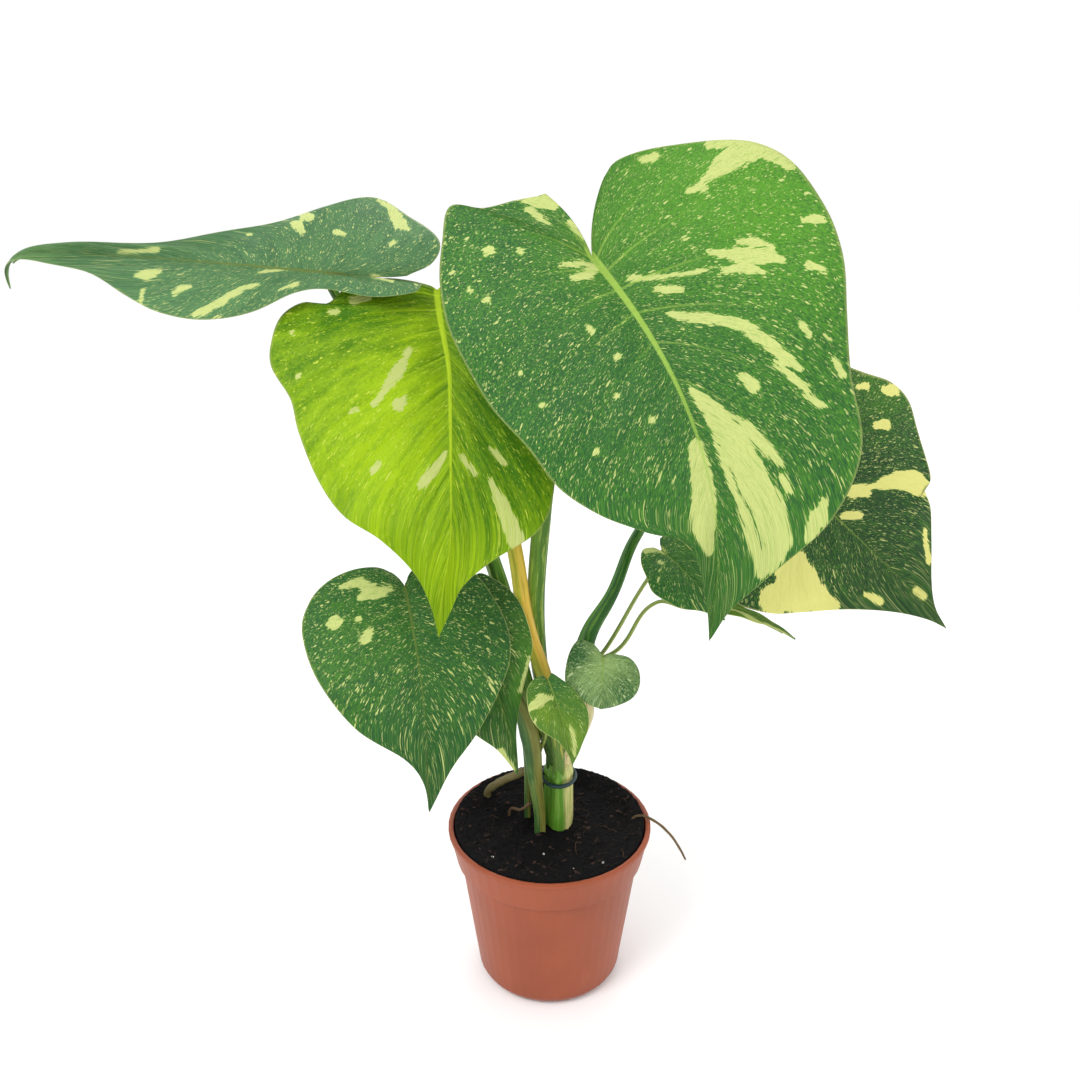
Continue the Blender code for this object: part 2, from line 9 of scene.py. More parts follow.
import bmesh
import bpy
import numpy as np
from bpy.props import FloatProperty, FloatVectorProperty, IntProperty, PointerProperty
from mathutils import Matrix, Vector, noise


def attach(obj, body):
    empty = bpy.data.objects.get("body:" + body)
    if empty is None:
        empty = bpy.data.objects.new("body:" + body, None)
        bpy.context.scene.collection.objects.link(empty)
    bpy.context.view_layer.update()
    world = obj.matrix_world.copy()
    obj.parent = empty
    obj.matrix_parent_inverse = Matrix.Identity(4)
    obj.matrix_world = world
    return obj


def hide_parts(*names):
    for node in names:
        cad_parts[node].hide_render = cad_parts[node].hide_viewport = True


bl_info = {
    "name": "Potted thai constellation monstera",
    "version": (1, 0, 0),
    "blender": (4, 5, 0),
    "location": "View3D > Sidebar > Monstera",
    "description": "Builds the blades, stalks, crown, roots, soil and pot of a young marbled monstera",
    "category": "Object",
}

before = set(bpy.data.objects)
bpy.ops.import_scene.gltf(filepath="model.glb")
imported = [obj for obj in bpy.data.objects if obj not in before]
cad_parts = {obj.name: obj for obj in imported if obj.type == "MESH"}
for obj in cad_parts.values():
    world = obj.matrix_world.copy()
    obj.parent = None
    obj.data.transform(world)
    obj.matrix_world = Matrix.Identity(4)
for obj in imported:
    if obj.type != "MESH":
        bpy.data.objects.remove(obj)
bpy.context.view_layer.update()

MM = 0.001
BODY = "root"

# Camera, from the photograph's perspective
CAMERA_PLACE = (-0.0056, -0.544, 0.484)
CAMERA_PITCH = math.radians(-20.7)
CAMERA_LENS = 36.1
CAMERA_SENSOR = 36.0

# Pot and soil
POT_HEIGHT = 100 * MM
RIM_RADIUS = 60 * MM
COLLAR_HEIGHT = 21 * MM
COLLAR_FOOT_RADIUS = 55.5 * MM
BODY_FOOT_RADIUS = 43.5 * MM
WALL = 1.4 * MM
SOIL_TOP = 96.5 * MM
SOIL_CROWN_RISE = 3 * MM
SOIL_HOLE_DEPTH = 22 * MM

# Crown
CROWN_CENTRE = Vector((5.3 * MM, 1 * MM, 0))
CROWN_HALF_WIDTH = 8 * MM
CROWN_HALF_DEPTH = 10.5 * MM
CROWN_FOOT = 74 * MM
CROWN_TOP = 140 * MM

# Blades
VEIN_SWEEP = (0.05, 0.24)
LEAN = {"leaf_lime": 6 * MM}
GAP = 0.3 * MM
BLADE_THICKNESS = 0.9 * MM
STALK_TO_BLADE = BLADE_THICKNESS + GAP

# Detail that only the scene has: grids, and relief in millimetres
LARGE_COLUMNS, LARGE_ROWS = 176, 44
MARGIN_WAVES = 4.5
TROUGH_DEPTH = 0.9
RIDGE_HEIGHT = 0.45
UNDER_RIB_STATIONS = 40
UNDER_RIB_REACH = 0.88
STALK_SIDES, UNDER_RIB_SIDES, ROOT_SIDES = 28, 12, 16
SHEATH_LOW = 13 * MM
SHEATH_MIDDLE = 6 * MM
CROWN_TAPER = 0.25
SOIL_HEAP = 3.2
SOIL_HEAP_BEHIND = 3.0


def leaf(junction, heading, pitch, roll, length, width, left, right, **form):
    """One blade: where its stalk joins it, how it is held, and its flat outline.

    junction is in metres; heading, pitch and roll turn the midrib and then the blade about it.
    left and right are the two halves of the outline, from the lobe's foot to the tip, each point
    as (along the midrib, out from it) in millimetres.
    """
    blade = dict(junction=Vector(junction), heading=heading, pitch=pitch, roll=roll,
                 length=length * MM, width=width * MM, left=left, right=right,
                 droop=20, sweep=0, curl=0, curl_from=0.8, fold=(5, 5), cup=(-20, -20), least_bow=-1)
    blade.update(form)
    return blade


LEAVES = {
    "leaf_front_large": leaf(
        (0.019, -0.020, 0.429), heading=-42, pitch=-40, roll=40, length=200, width=200,
        droop=40, sweep=-48, fold=(14, 2), cup=(-20, -35),
        left=((-27, 27), (-30, 37), (-25, 55), (-13, 76), (2, 94), (18, 103), (39, 102), (58, 95),
              (78, 83), (98, 74), (122, 69), (144, 52), (163, 26), (181, 8), (200, 0)),
        right=((-41, -2), (-46, 12), (-52, 27), (-64, 39), (-53, 52), (-36, 66), (-10, 77), (32, 81),
               (72, 75), (105, 68), (128, 53), (142, 33), (152, 13), (178, 5), (200, 0))),
    "leaf_left_long": leaf(
        (-0.111, 0.030, 0.415), heading=170, pitch=4, roll=-38, length=222, width=140,
        droop=7, curl=66, curl_from=0.74, fold=(10, 6), cup=(-40, -20), least_bow=-0.5,
        left=((-46, 3), (-44, 10), (-26, 14), (0, 13), (16, 18), (36, 31), (62, 40), (84, 38),
              (108, 28), (136, 15), (172, 7), (222, 0)),
        right=((-36, 4), (-48, 13), (-48, 28), (-28, 46), (-4, 61), (20, 48), (52, 29), (86, 15),
               (124, 9), (168, 6), (222, 0))),
    "leaf_lime": leaf(
        (-0.0593, 0.030, 0.4064), heading=-86, pitch=-49, roll=0, length=183, width=170,
        droop=22, sweep=-2,
        left=((-4, 6), (-6, 20), (4, 36), (26, 46), (60, 52), (90, 57), (112, 57), (131, 49),
              (146, 26), (158, 12), (170, 6), (183, 0)),
        right=((-4, 6), (-6, 25), (-2, 46), (6, 57), (4, 70), (11, 81), (25, 86), (40, 86),
               (60, 75), (79, 70), (104, 60), (123, 47), (136, 28), (152, 12), (168, 4), (183, 0))),
    "leaf_lower_left": leaf(
        (-0.0763, -0.022, 0.261), heading=-71, pitch=-46, roll=0, length=119, width=106,
        droop=36, sweep=-6,
        left=((-7, 5), (-12, 13), (-11, 26), (-3, 38), (10, 46), (24, 51), (40, 51), (55, 45),
              (81, 26), (98, 11), (119, 0)),
        right=((-8, 5), (-12, 13), (-12, 27), (-8, 40), (1, 50), (17, 56), (45, 51), (72, 35),
               (90, 12), (103, 3), (119, 0))),
    "leaf_tucked": leaf(
        (-0.045, -0.010, 0.250), heading=-60, pitch=-48, roll=10, length=101, width=60,
        droop=30, fold=(6, 6), cup=(-25, -25),
        left=((-8, 4), (-10, 12), (-2, 21), (8, 27), (20, 29), (35, 27), (46, 21), (60, 12),
              (78, 4), (101, 0)),
        right=((-8, 4), (-10, 12), (-4, 20), (10, 27), (30, 29), (52, 26), (70, 19), (84, 8), (101, 0))),
    "leaf_small_centre": leaf(
        (-0.001, -0.030, 0.210), heading=-60, pitch=-45, roll=0, length=47, width=36,
        droop=30, fold=(12, 12), cup=(-15, -15),
        left=((-3, 3), (3, 8), (10, 12), (19, 15), (28, 14), (38, 7), (47, 0)),
        right=((-3, 2), (-2, 9), (3, 15), (13, 18), (23, 16), (32, 7), (40, 2), (47, 0))),
    "leaf_small_round": leaf(
        (0.0286, -0.016, 0.2165), heading=-95, pitch=-40, roll=0, length=29, width=40,
        droop=20, cup=(-30, -30),
        left=((-2, 4), (-1, 14), (5, 20), (14, 21), (22, 17), (27, 8), (29, 0)),
        right=((-8, 6), (-10, 14), (-3, 19), (10, 21), (19, 18), (26, 8), (29, 0))),
    "leaf_small_right": leaf(
        (0.0615, 0.004, 0.2705), heading=-38, pitch=-30, roll=10, length=50, width=44,
        droop=20,
        left=((-7, 5), (-7, 11), (-3, 15), (12, 16), (30, 10), (42, 4), (50, 0)),
        right=((-5, 3), (-7, 10), (-3, 16), (5, 21), (16, 25), (30, 20), (40, 9), (50, 0))),
    "leaf_narrow_right": leaf(
        (0.0772, 0.004, 0.2439), heading=-14, pitch=-9, roll=-6, length=62, width=22,
        droop=22, fold=(8, 8),
        left=((-5, 3), (-3, 9), (10, 11), (30, 10), (48, 5), (62, 0)),
        right=((-5, 3), (-3, 9), (10, 11), (30, 10), (48, 5), (62, 0))),
    "leaf_right_large": leaf(
        (0.122, 0.060, 0.312), heading=-8, pitch=-40, roll=58, length=167, width=180,
        droop=15,
        left=((-30, 12), (-34, 30), (-24, 50), (-6, 68), (28, 86), (42, 92), (57, 91), (71, 82),
              (88, 69), (97, 60), (97, 52), (108, 46), (121, 32), (136, 14), (150, 4), (167, 0)),
        right=((-30, 12), (-34, 30), (-26, 52), (-8, 72), (20, 83), (45, 79), (65, 70), (80, 57),
               (103, 36), (128, 18), (150, 6), (167, 0))),
}


# Cream patches on each blade: lines of flat places with the patch's half-width there, all in millimetres
MARKS = {
    "leaf_front_large": (
        ((80, 5, 1), (95, 11, 4.5), (113, 16, 6), (128, 20, 7), (140, 24, 7), (151, 27, 6), (161, 23, 3)),
        ((105, -2, 3), (117, -3, 4.5), (130, -4, 5.5), (143, -6, 5), (154, -4, 2)),
        ((103, 7, 0.5), (113, 8, 1), (128, 10, 1), (147, 15, 2), (164, 20, 2)),
        ((99, 19, 0.5), (107, 24, 2), (114, 28, 2.5), (121, 32, 1)),
        ((84, 28, 1.5), (89, 31, 2.5)),
        ((126, 32, 1), (132, 34, 1)),
        ((45, 12, 0.7), (51, 18, 1.8), (57, 28, 1.8), (65, 38, 2.2), (75, 44, 2.6), (84, 49, 2.6),
         (89, 53, 1)),
        ((84, 44, 0.7), (92, 49, 1.5), (97, 54, 0.7)),
        ((99, 52, 0.7), (105, 57, 1.2)),
        ((8, 100, 3.5), (2, 86, 6), (3, 75, 4.5), (4, 62, 1)),
        ((-10, 76, 2), (4, 97, 2.5)),
        ((12, 98, 4), (19, 101, 2)),
        ((4, 53, 0.7), (6, 60, 2)),
        ((-23, 47, 1.5), (-21, 53, 2)),
        ((32, 43, 0.5), (39, 53, 2.8), (45, 63, 3.2), (50, 70, 0.5)),
        ((34, 57, 0.5), (38, 63, 1.8), (43, 69, 0.5)),
        ((42, 43, 0.5), (45, 54, 2.7), (52, 59, 0.5)),
        ((21, 7, 1.2), (26, 14, 0.8), (34, 27, 0.6), (39, 41, 0.6)),
        ((32, 13, 0.5), (36, 18, 1.5), (39, 23, 1)),
        ((-44, -10, 0.5), (-39, -3, 3.5), (-35, 3, 4), (-32, 5, 1.5)),
        ((-38, -10, 1.5), (-27, -7, 1)),
        ((-21, 2, 1), (-10, 2, 0.5)),
        ((5, -14, 1), (7, -7, 2.3), (6, -2, 1.5)),
        ((-4, -14, 0.8), (4, -3, 0.8)),
        ((40, 89, 1), (43, 96, 1.5)),
        ((56, 78, 1), (60, 82, 1.5)),
        ((75, 62, 1), (79, 63, 1.5)),
        ((90, 69, 0.5), (96, 70, 1.2)),
        ((138, 49, 1), (144, 45, 3.6), (150, 41, 1.8)),
        ((-33, -38, 2), (-31, -36, 1.5)),
        ((-22, -26, 1.4),), ((32, -22, 1.5),), ((51, -18, 1.4),), ((-23, -56, 1.4),), ((-14, -53, 1.4),),
        ((52, -59, 1.5),), ((91, -46, 1.6),), ((86, -17, 1.2),), ((68, -27, 1.2),), ((29, -60, 1.2),)),
    "leaf_left_long": (
        ((-7, -59, 1), (-15, -54, 2.2), (-24, -39, 3.2), (-29, -35, 0.8)),
        ((33, -41, 1.6), (27, -37, 3)),
        ((32, -31, 2.6), (26, -25, 1.2)),
        ((8, -28, 1.6), (3, -26, 0.5)),
        ((-24, -23, 2),), ((55, -21, 1.1),),
        ((124, -2, 0.5), (103, -5, 1.6)),
        ((106, 15, 1), (100, 14, 3.2), (94, 12, 1)),
        ((80, 26, 1), (78, 23, 2), (74, 21, 1)),
        ((65, 38, 1.5), (60, 34, 2), (54, 28, 2), (46, 19, 1.5), (38, 15, 0.5)),
        ((41, 5, 0.5), (28, 0, 0.8)),
        ((25, 17, 0.5), (18, 13, 1.5)),
        ((99, 25, 1), (97, 36, 0.8), (86, 38, 0.8)),
        ((-19, -1, 1), (-29, 1, 1.5))),
    "leaf_lime": (
        ((36, -14, 1), (50, -21, 2.5), (66, -32, 1)),
        ((63, -16, 1), (67, -20, 2.5)),
        ((92, 3, 1), (102, -3, 2.5), (109, -9, 1.5)),
        ((100, -32, 2), (97, -29, 1)),
        ((68, -41, 1), (70, -44, 0.7)),
        ((12, -55, 1), (12, -52, 1.5)),
        ((23, -75, 1.5),), ((47, -71, 1.5),),
        ((6, -42, 2.5), (5, -36, 1.6)),
        ((106, 25, 0.5), (119, 31, 3), (134, 37, 3.5), (143, 40, 3)),
        ((93, 11, 0.7), (103, 18, 1)),
        ((90, 26, 0.7), (97, 32, 1.2))),
    "leaf_lower_left": (
        ((-5, -33, 0.5), (-5, -23, 2.2), (2, -17, 4), (1, -8, 1)),
        ((3, -23, 2),),
        ((15, -39, 3.5),),
        ((22, -22, 1.5), (26, -25, 2.5)),
        ((15, -27, 1),)),
    "leaf_right_large": (
        ((56, -41, 10), (70, -48, 14), (84, -44, 7), (94, -41, 3)),
        ((62, -62, 9),),
        ((-8, -72, 3.5), (6, -75, 5.5), (25, -82, 3.5)),
        ((55, 17, 1.2), (67, 28, 1.2), (79, 44, 4.8), (89, 51, 7), (97, 53, 4.8)),
        ((59, 17, 2.8), (67, 24, 2.4)),
        ((26, 73, 1.2), (30, 77, 2.4)),
        ((41, 84, 2.4), (46, 89, 3.6)),
        ((48, 60, 1.8), (52, 65, 3), (56, 65, 0.6)),
        ((113, 33, 1.2), (127, 21, 1.8)),
        ((132, 2, 1.8), (139, 3, 1.8)),
        ((105, -23, 1.2), (115, -20, 2.4)),
        ((65, 4, 1.8), (72, 10, 1.8))),
    "leaf_small_right": (
        ((-6, -8, 2.7), (-5, -2, 3.3), (0, 0, 1.6)),
        ((5, -8, 1.1),)),
    "leaf_narrow_right": (
        ((14, -5, 1.5), (26, -3, 2), (40, -8, 2), (55, -2, 1)),),
    "leaf_small_centre": (
        ((13, -17, 1), (9, -9, 2.4), (10, -2, 0.6)),
        ((26, 3, 0.4), (33, 3, 0.9), (42, 2, 0.5))),
    "leaf_tucked": (
        ((43, 23, 1.6), (57, 13, 1.6)),
        ((85, -7, 2), (96, -3, 1.6))),
}

# Soft spots of lighter green on each blade: flat place, radius and amount, over an even start
SHADES = {
    "leaf_front_large": (0.25, ((30, 80, 45, 0.55), (-20, 60, 40, 0.35), (0, 10, 30, 0.25),
                                (60, -40, 50, -0.1))),
    "leaf_left_long": (0.25, ((190, 0, 30, 0.5), (60, 30, 40, 0.1), (60, -20, 40, -0.1))),
    "leaf_lime": (0.5, ((95, -25, 40, 0.4), (150, 6, 16, 0.3), (55, -20, 26, 0.25), (5, -50, 34, -0.42),
                        (-5, 20, 30, -0.4), (100, 35, 38, -0.42), (50, -78, 18, -0.1), (55, 25, 30, -0.35),
                        (15, 0, 16, 0.2))),
    "leaf_lower_left": (0.2, ((30, -40, 30, 0.2), (100, 0, 30, -0.1))),
    "leaf_tucked": (0.25, ((60, 20, 18, 0.6), (30, 28, 15, 0.5))),
    "leaf_small_centre": (0.3, ((16, -10, 9, 0.5), (32, 4, 14, 0.45), (4, 3, 8, -0.2))),
    "leaf_small_round": (0.4, ((-2, -15, 8, -0.5), (3, 1, 9, 0.5), (15, -6, 8, 0.25), (22, 12, 8, -0.25))),
    "leaf_small_right": (0.2, ((10, 10, 20, 0.1),)),
    "leaf_narrow_right": (0.35, ((20, 0, 20, 0.3),)),
    "leaf_right_large": (0.15, ((40, 80, 30, 0.3), (60, 30, 40, -0.1))),
}


def smooth(t):
    t = np.clip(t, 0.0, 1.0)
    return t * t * (3 - 2 * t)


def axes_of(blade):
    """The midrib's direction, the blade's left and its upper normal at the junction."""
    heading, pitch, roll = (math.radians(blade[key]) for key in ("heading", "pitch", "roll"))
    ahead = np.array((math.cos(pitch) * math.cos(heading), math.cos(pitch) * math.sin(heading),
                      math.sin(pitch)))
    level = np.array((-math.sin(heading), math.cos(heading), 0.0))
    above = np.cross(ahead, level)
    left = math.cos(roll) * level + math.sin(roll) * above
    return ahead, left, np.cross(ahead, left)


def midrib(blade, steps=240):
    """Stations along the bent midrib: distance, place, up and side, in the blade's own axes."""
    length = blade["length"]
    x = np.linspace(-0.6 * length, 1.1 * length, steps + 1)
    t = np.clip(x / length, 0, None)
    curl_from = blade["curl_from"]
    nod = -np.radians(blade["droop"]) * t ** 1.5
    nod = nod - np.radians(blade["curl"]) * smooth((t - curl_from) / (1 - curl_from))
    turn = np.radians(blade["sweep"]) * t ** 1.5
    tangent = np.c_[np.cos(nod) * np.cos(turn), np.cos(nod) * np.sin(turn), np.sin(nod)]
    middle = 0.5 * (tangent[1:] + tangent[:-1])
    place = np.vstack([np.zeros(3), np.cumsum(middle * np.diff(x)[:, None], axis=0)])
    place = place - place[np.argmin(np.abs(x))]
    up = np.array((0.0, 0.0, 1.0)) - tangent * tangent[:, 2:3]
    up = up / np.linalg.norm(up, axis=1)[:, None]
    return x, place, up, np.cross(up, tangent)


def bend(blade, along, out, raised=0.0):
    """Flat places on the blade, raised a little off it, as places in the world."""
    x, place, up, side = midrib(blade)
    place, up, side = (np.stack([np.interp(along, x, line[:, axis]) for axis in range(3)], axis=-1)
                       for line in (place, up, side))
    half = 0.5 * blade["width"]
    far = np.abs(out)
    fold, cup = (np.where(out >= 0, *blade[key]) for key in ("fold", "cup"))
    fold = np.radians(fold)
    cup = np.radians(cup) / half
    across = (np.sin(fold + cup * far) - np.sin(fold)) / cup
    lift = (np.cos(fold) - np.cos(fold + cup * far)) / cup + raised
    local = place + side * np.where(out >= 0, across, -across)[..., None] + up * lift[..., None]
    return np.array(blade["junction"]) + local @ np.array(axes_of(blade))


def margin(points, count):
    """A smooth line through an outline's points, as count places evenly spaced along it."""
    knots = np.array(points, float) * MM
    ends = np.vstack([2 * knots[0] - knots[1], knots, 2 * knots[-1] - knots[-2]])
    line = []
    for a, b, c, d in zip(ends, ends[1:], ends[2:], ends[3:]):
        t = np.linspace(0, 1, 24, endpoint=False)[:, None]
        line.append(0.5 * (2 * b + (c - a) * t + (2 * a - 5 * b + 4 * c - d) * t ** 2
                           + (3 * b - a - 3 * c + d) * t ** 3))
    line = np.vstack([*line, knots[-1:]])
    run = np.r_[0, np.cumsum(np.linalg.norm(np.diff(line, axis=0), axis=1))]
    steps = np.linspace(0, run[-1], count)
    return np.stack([np.interp(steps, run, line[:, axis]) for axis in range(2)], axis=-1)


def half_blade(blade, side):
    """Flat places of one half, in columns that leave the midrib as the side veins do."""
    edge = margin(blade["left" if side > 0 else "right"], blade["columns"] + 1)
    k = np.linspace(0, 1, blade["columns"] + 1)[:, None]
    root = np.c_[blade["length"] * k ** 1.7, np.zeros_like(k)]
    chord = edge - root
    bow = 0.12 * np.maximum(2 * smooth(k / 0.35) - 1, blade["least_bow"]) * (1 - smooth((k - 0.8) / 0.2))
    middle = 0.5 * (root + edge) + bow * np.c_[chord[:, 1], -chord[:, 0]]
    t = np.linspace(0, 1, blade["rows"] + 1)[None, :, None]
    flat = (1 - t) ** 2 * root[:, None] + 2 * t * (1 - t) * middle[:, None] + t ** 2 * edge[:, None]
    flat[..., 1] *= side
    return flat


def both_halves(right, left):
    """One array over the whole blade from two halves that share the midrib."""
    return np.concatenate([right[:, :0:-1], left], axis=1)


def from_marks(flat, marks):
    """How far inside the nearest cream patch each flat place is, in millimetres, below 0 outside."""
    places = flat.reshape(-1, 2) / MM
    inside = np.full(len(places), -60.0)
    for mark in marks:
        line = np.array(mark if len(mark) > 1 else (*mark, *mark), float)
        for start, end in zip(line, line[1:]):
            step = end[:2] - start[:2]
            share = np.clip((places - start[:2]) @ step / max(step @ step, 1e-6), 0, 1)
            near = start[:2] + share[:, None] * step
            width = start[2] + share * (end[2] - start[2])
            inside = np.maximum(inside, width - np.linalg.norm(places - near, axis=1))
    return inside.reshape(flat.shape[:-1])


def from_shades(flat, start, spots):
    """How light the green is at each flat place."""
    shade = np.full(flat.shape[:-1], start)
    for along, out, radius, amount in spots:
        far = np.hypot(flat[..., 0] / MM - along, flat[..., 1] / MM - out)
        shade = shade + amount * np.exp(-(far / radius) ** 2)
    return shade


def lean_of(node_name, share):
    """How far the midrib stands to one side of its outline's axis there."""
    return LEAN.get(node_name, 0) * smooth(share / 0.3) * (1 - smooth((share - 0.7) / 0.3))


def new_piece(name, mesh, *looks):
    """A mesh with its materials, as a piece that rides on the plant's one body."""
    piece = bpy.data.objects.new(name, mesh)
    for look in looks:
        piece.data.materials.append(look)
    bpy.context.scene.collection.objects.link(piece)
    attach(piece, BODY)
    return piece


def redressed(node_name, look):
    """Gives a plain solid its material, with its shape left as it is."""
    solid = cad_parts[node_name]
    solid.data.materials.clear()
    solid.data.materials.append(look)


def finished(shape, name, look, smoothly=True):
    """A shape that is done, as a piece."""
    mesh = bpy.data.meshes.new(name)
    shape.to_mesh(mesh)
    shape.free()
    if smoothly:
        mesh.shade_smooth()
    return new_piece(name, mesh, look)


def fine_blade(name, node_name, look, under_look, columns, rows, veins, puff, ripple, rib):
    """A blade with its veins, quilted skin and thin margin in the mesh, in place of its plain solid."""
    blade = dict(LEAVES[node_name], columns=columns, rows=rows)
    right, left = half_blade(blade, -1), half_blade(blade, 1)
    flat = both_halves(right, left)
    k = np.linspace(0, 1, columns + 1)[:, None] * np.ones((1, 2 * rows + 1))
    t = np.abs(np.linspace(-1, 1, 2 * rows + 1))[None, :] * np.ones((columns + 1, 1))
    side = np.sign(np.linspace(-1, 1, 2 * rows + 1))[None, :]
    length = blade["length"]
    share = np.clip(flat[..., 0] / length, 0, 1)

    # Distances in millimetres from the midrib's edge and from the side veins' edges
    rib_width = 0.7 * rib * (1 - share) ** 1.5 * smooth((flat[..., 0] / MM + 8) / 8) + 0.15
    rib_away = np.abs(flat[..., 1]) / MM - rib_width
    step = np.linalg.norm(np.gradient(flat, axis=0), axis=-1) * columns / veins / MM
    swept = k - (VEIN_SWEEP[0] + VEIN_SWEEP[1] * k) * t * (1 - k ** 10)
    phase = swept * veins
    away = np.abs(phase - np.round(phase))
    vein_away = away * step - 0.5 * (1 - 0.85 * t)

    # Where the midrib bows to one side of its outline
    out = np.abs(flat[..., 1]) / MM
    flat[..., 1] += (1 - t) * lean_of(node_name, share)

    # Relief: the skin swells between the side veins, the margin ripples and the midrib stands up
    swell = puff * np.sin(math.pi * phase) ** 2 * smooth(t / 0.2) * (1 - smooth((t - 0.7) / 0.3))
    swell = swell * smooth(k / 0.1) * (1 - smooth((k - 0.85) / 0.15))
    rippled = ripple * smooth((t - 0.35) / 0.65) * np.sin(2 * math.pi * (MARGIN_WAVES * k + 0.2 * side))
    rippled = rippled * (1 - k ** 4)
    trough = -TROUGH_DEPTH * np.exp(-(out / (2.5 * rib + 0.6)) ** 2) * (1 - share)
    ridge = RIDGE_HEIGHT * np.clip(1 - (out / (rib_width + 0.3)) ** 2, 0, 1) * (1 - share)
    world = bend(blade, flat[..., 0], flat[..., 1], (swell + rippled + trough + ridge) * MM)

    edge_line = [margin(blade[half], columns + 1) for half in ("right", "left")]
    run = sum(np.linalg.norm(np.diff(line, axis=0), axis=1).sum() for line in edge_line) / 2
    chord = np.linalg.norm(flat - np.stack([length * k ** 1.7, np.zeros_like(k)], axis=-1), axis=-1)
    grain = np.stack([swept * run / MM / 10, side * chord / MM / 10], axis=-1)
    values = {"rib": rib_away, "vein": vein_away, "cream": from_marks(flat, MARKS.get(node_name, ())),
              "shade": from_shades(flat, *SHADES[node_name]), "edge": t, "near_tip": share}
    thickness = 0.35 + 0.65 * (1 - smooth((t - 0.6) / 0.4))
    blade_piece = grid_piece(name, world, grain, values, thickness, (look, under_look))
    shell = blade_piece.modifiers.new("Thickness", "SOLIDIFY")
    shell.thickness = BLADE_THICKNESS
    shell.offset = -1
    shell.vertex_group = "thickness"
    shell.material_offset = 1
    shell.material_offset_rim = 0
    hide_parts(node_name)
    return blade_piece


def grid_piece(name, world, grain, values, thickness, looks):
    """A sheet over a grid whose last column meets in one point, with its values kept at its corners."""
    columns, across = world.shape[0] - 1, world.shape[1]
    tip = columns * across
    places = [*world[:-1].reshape(-1, 3), world[-1, across // 2]]

    def listed(array):
        return np.r_[array[:-1].reshape(columns * across, -1), array[-1, across // 2].reshape(1, -1)]

    faces = []
    for column in range(columns):
        for row in range(across - 1):
            here = column * across + row
            if column < columns - 1:
                faces.append((here, here + across, here + across + 1, here + 1))
            else:
                faces.append((here, tip, here + 1))
    mesh = bpy.data.meshes.new(name)
    mesh.from_pydata([tuple(place) for place in places], [], faces)
    mesh.shade_smooth()
    corner_of = np.empty(len(mesh.loops), int)
    mesh.loops.foreach_get("vertex_index", corner_of)
    mesh.uv_layers.new(name="Grain").data.foreach_set("uv", listed(grain)[corner_of].ravel())
    for word, array in values.items():
        mesh.attributes.new(word, "FLOAT", "POINT").data.foreach_set("value", listed(array).ravel())
    thing = new_piece(name, mesh, *looks)
    group = thing.vertex_groups.new(name="thickness")
    for number, share in enumerate(listed(thickness).ravel()):
        group.add([number], float(share), "REPLACE")
    return thing


# Materials

def node(tree, kind, inputs=(), **settings):
    """A shader node with its settings, and its inputs linked or set."""
    made = tree.nodes.new(kind)
    for word, value in settings.items():
        setattr(made, word, value)
    for key, value in dict(inputs).items():
        socket = made.inputs[key]
        if isinstance(value, bpy.types.NodeSocket):
            tree.links.new(value, socket)
        else:
            socket.default_value = value
    return made


def sums(tree, operation, *values):
    return node(tree, "ShaderNodeMath", enumerate(values), operation=operation).outputs[0]


def vector_sum(tree, operation, inputs):
    return node(tree, "ShaderNodeVectorMath", inputs, operation=operation).outputs[0]


def mask_between(tree, value, low, high):
    """0 below low and 1 above high, smoothly between."""
    inputs = {"Value": value, "From Min": low, "From Max": high}
    return node(tree, "ShaderNodeMapRange", inputs, interpolation_type="SMOOTHSTEP").outputs["Result"]


def mask_below(tree, value, low, high):
    """1 below low and 0 above high, smoothly between."""
    return sums(tree, "SUBTRACT", 1.0, mask_between(tree, value, low, high))


def mixed(tree, factor, *colours):
    """Two colours mixed by factor. Each is a socket or three channels."""
    first, second = (colour if isinstance(colour, bpy.types.NodeSocket) else (*colour, 1.0)
                     for colour in colours)
    return node(tree, "ShaderNodeMix", {0: factor, 6: first, 7: second}, data_type="RGBA").outputs[2]


def painted(tree, word):
    return node(tree, "ShaderNodeAttribute", attribute_name=word).outputs["Fac"]


def stretched(tree, vector, scale, moved=(0, 0, 0)):
    return node(tree, "ShaderNodeMapping", {"Vector": vector, "Scale": scale, "Location": moved}).outputs[0]


def cloud(tree, vector, scale, detail=2.0, roughness=0.5):
    inputs = {"Vector": vector, "Scale": scale, "Detail": detail, "Roughness": roughness}
    return node(tree, "ShaderNodeTexNoise", inputs).outputs["Fac"]


def new_group(name, inputs, outputs):
    """An empty shader node group with named sockets."""
    group = bpy.data.node_groups.new(name, "ShaderNodeTree")
    for word, kind in inputs:
        group.interface.new_socket(name=word, in_out="INPUT", socket_type=kind)
    for word, kind in outputs:
        group.interface.new_socket(name=word, in_out="OUTPUT", socket_type=kind)
    start = group.nodes.new("NodeGroupInput").outputs
    end = group.nodes.new("NodeGroupOutput").inputs
    return group, start, end


FLOAT, COLOUR, VECTOR = "NodeSocketFloat", "NodeSocketColor", "NodeSocketVector"


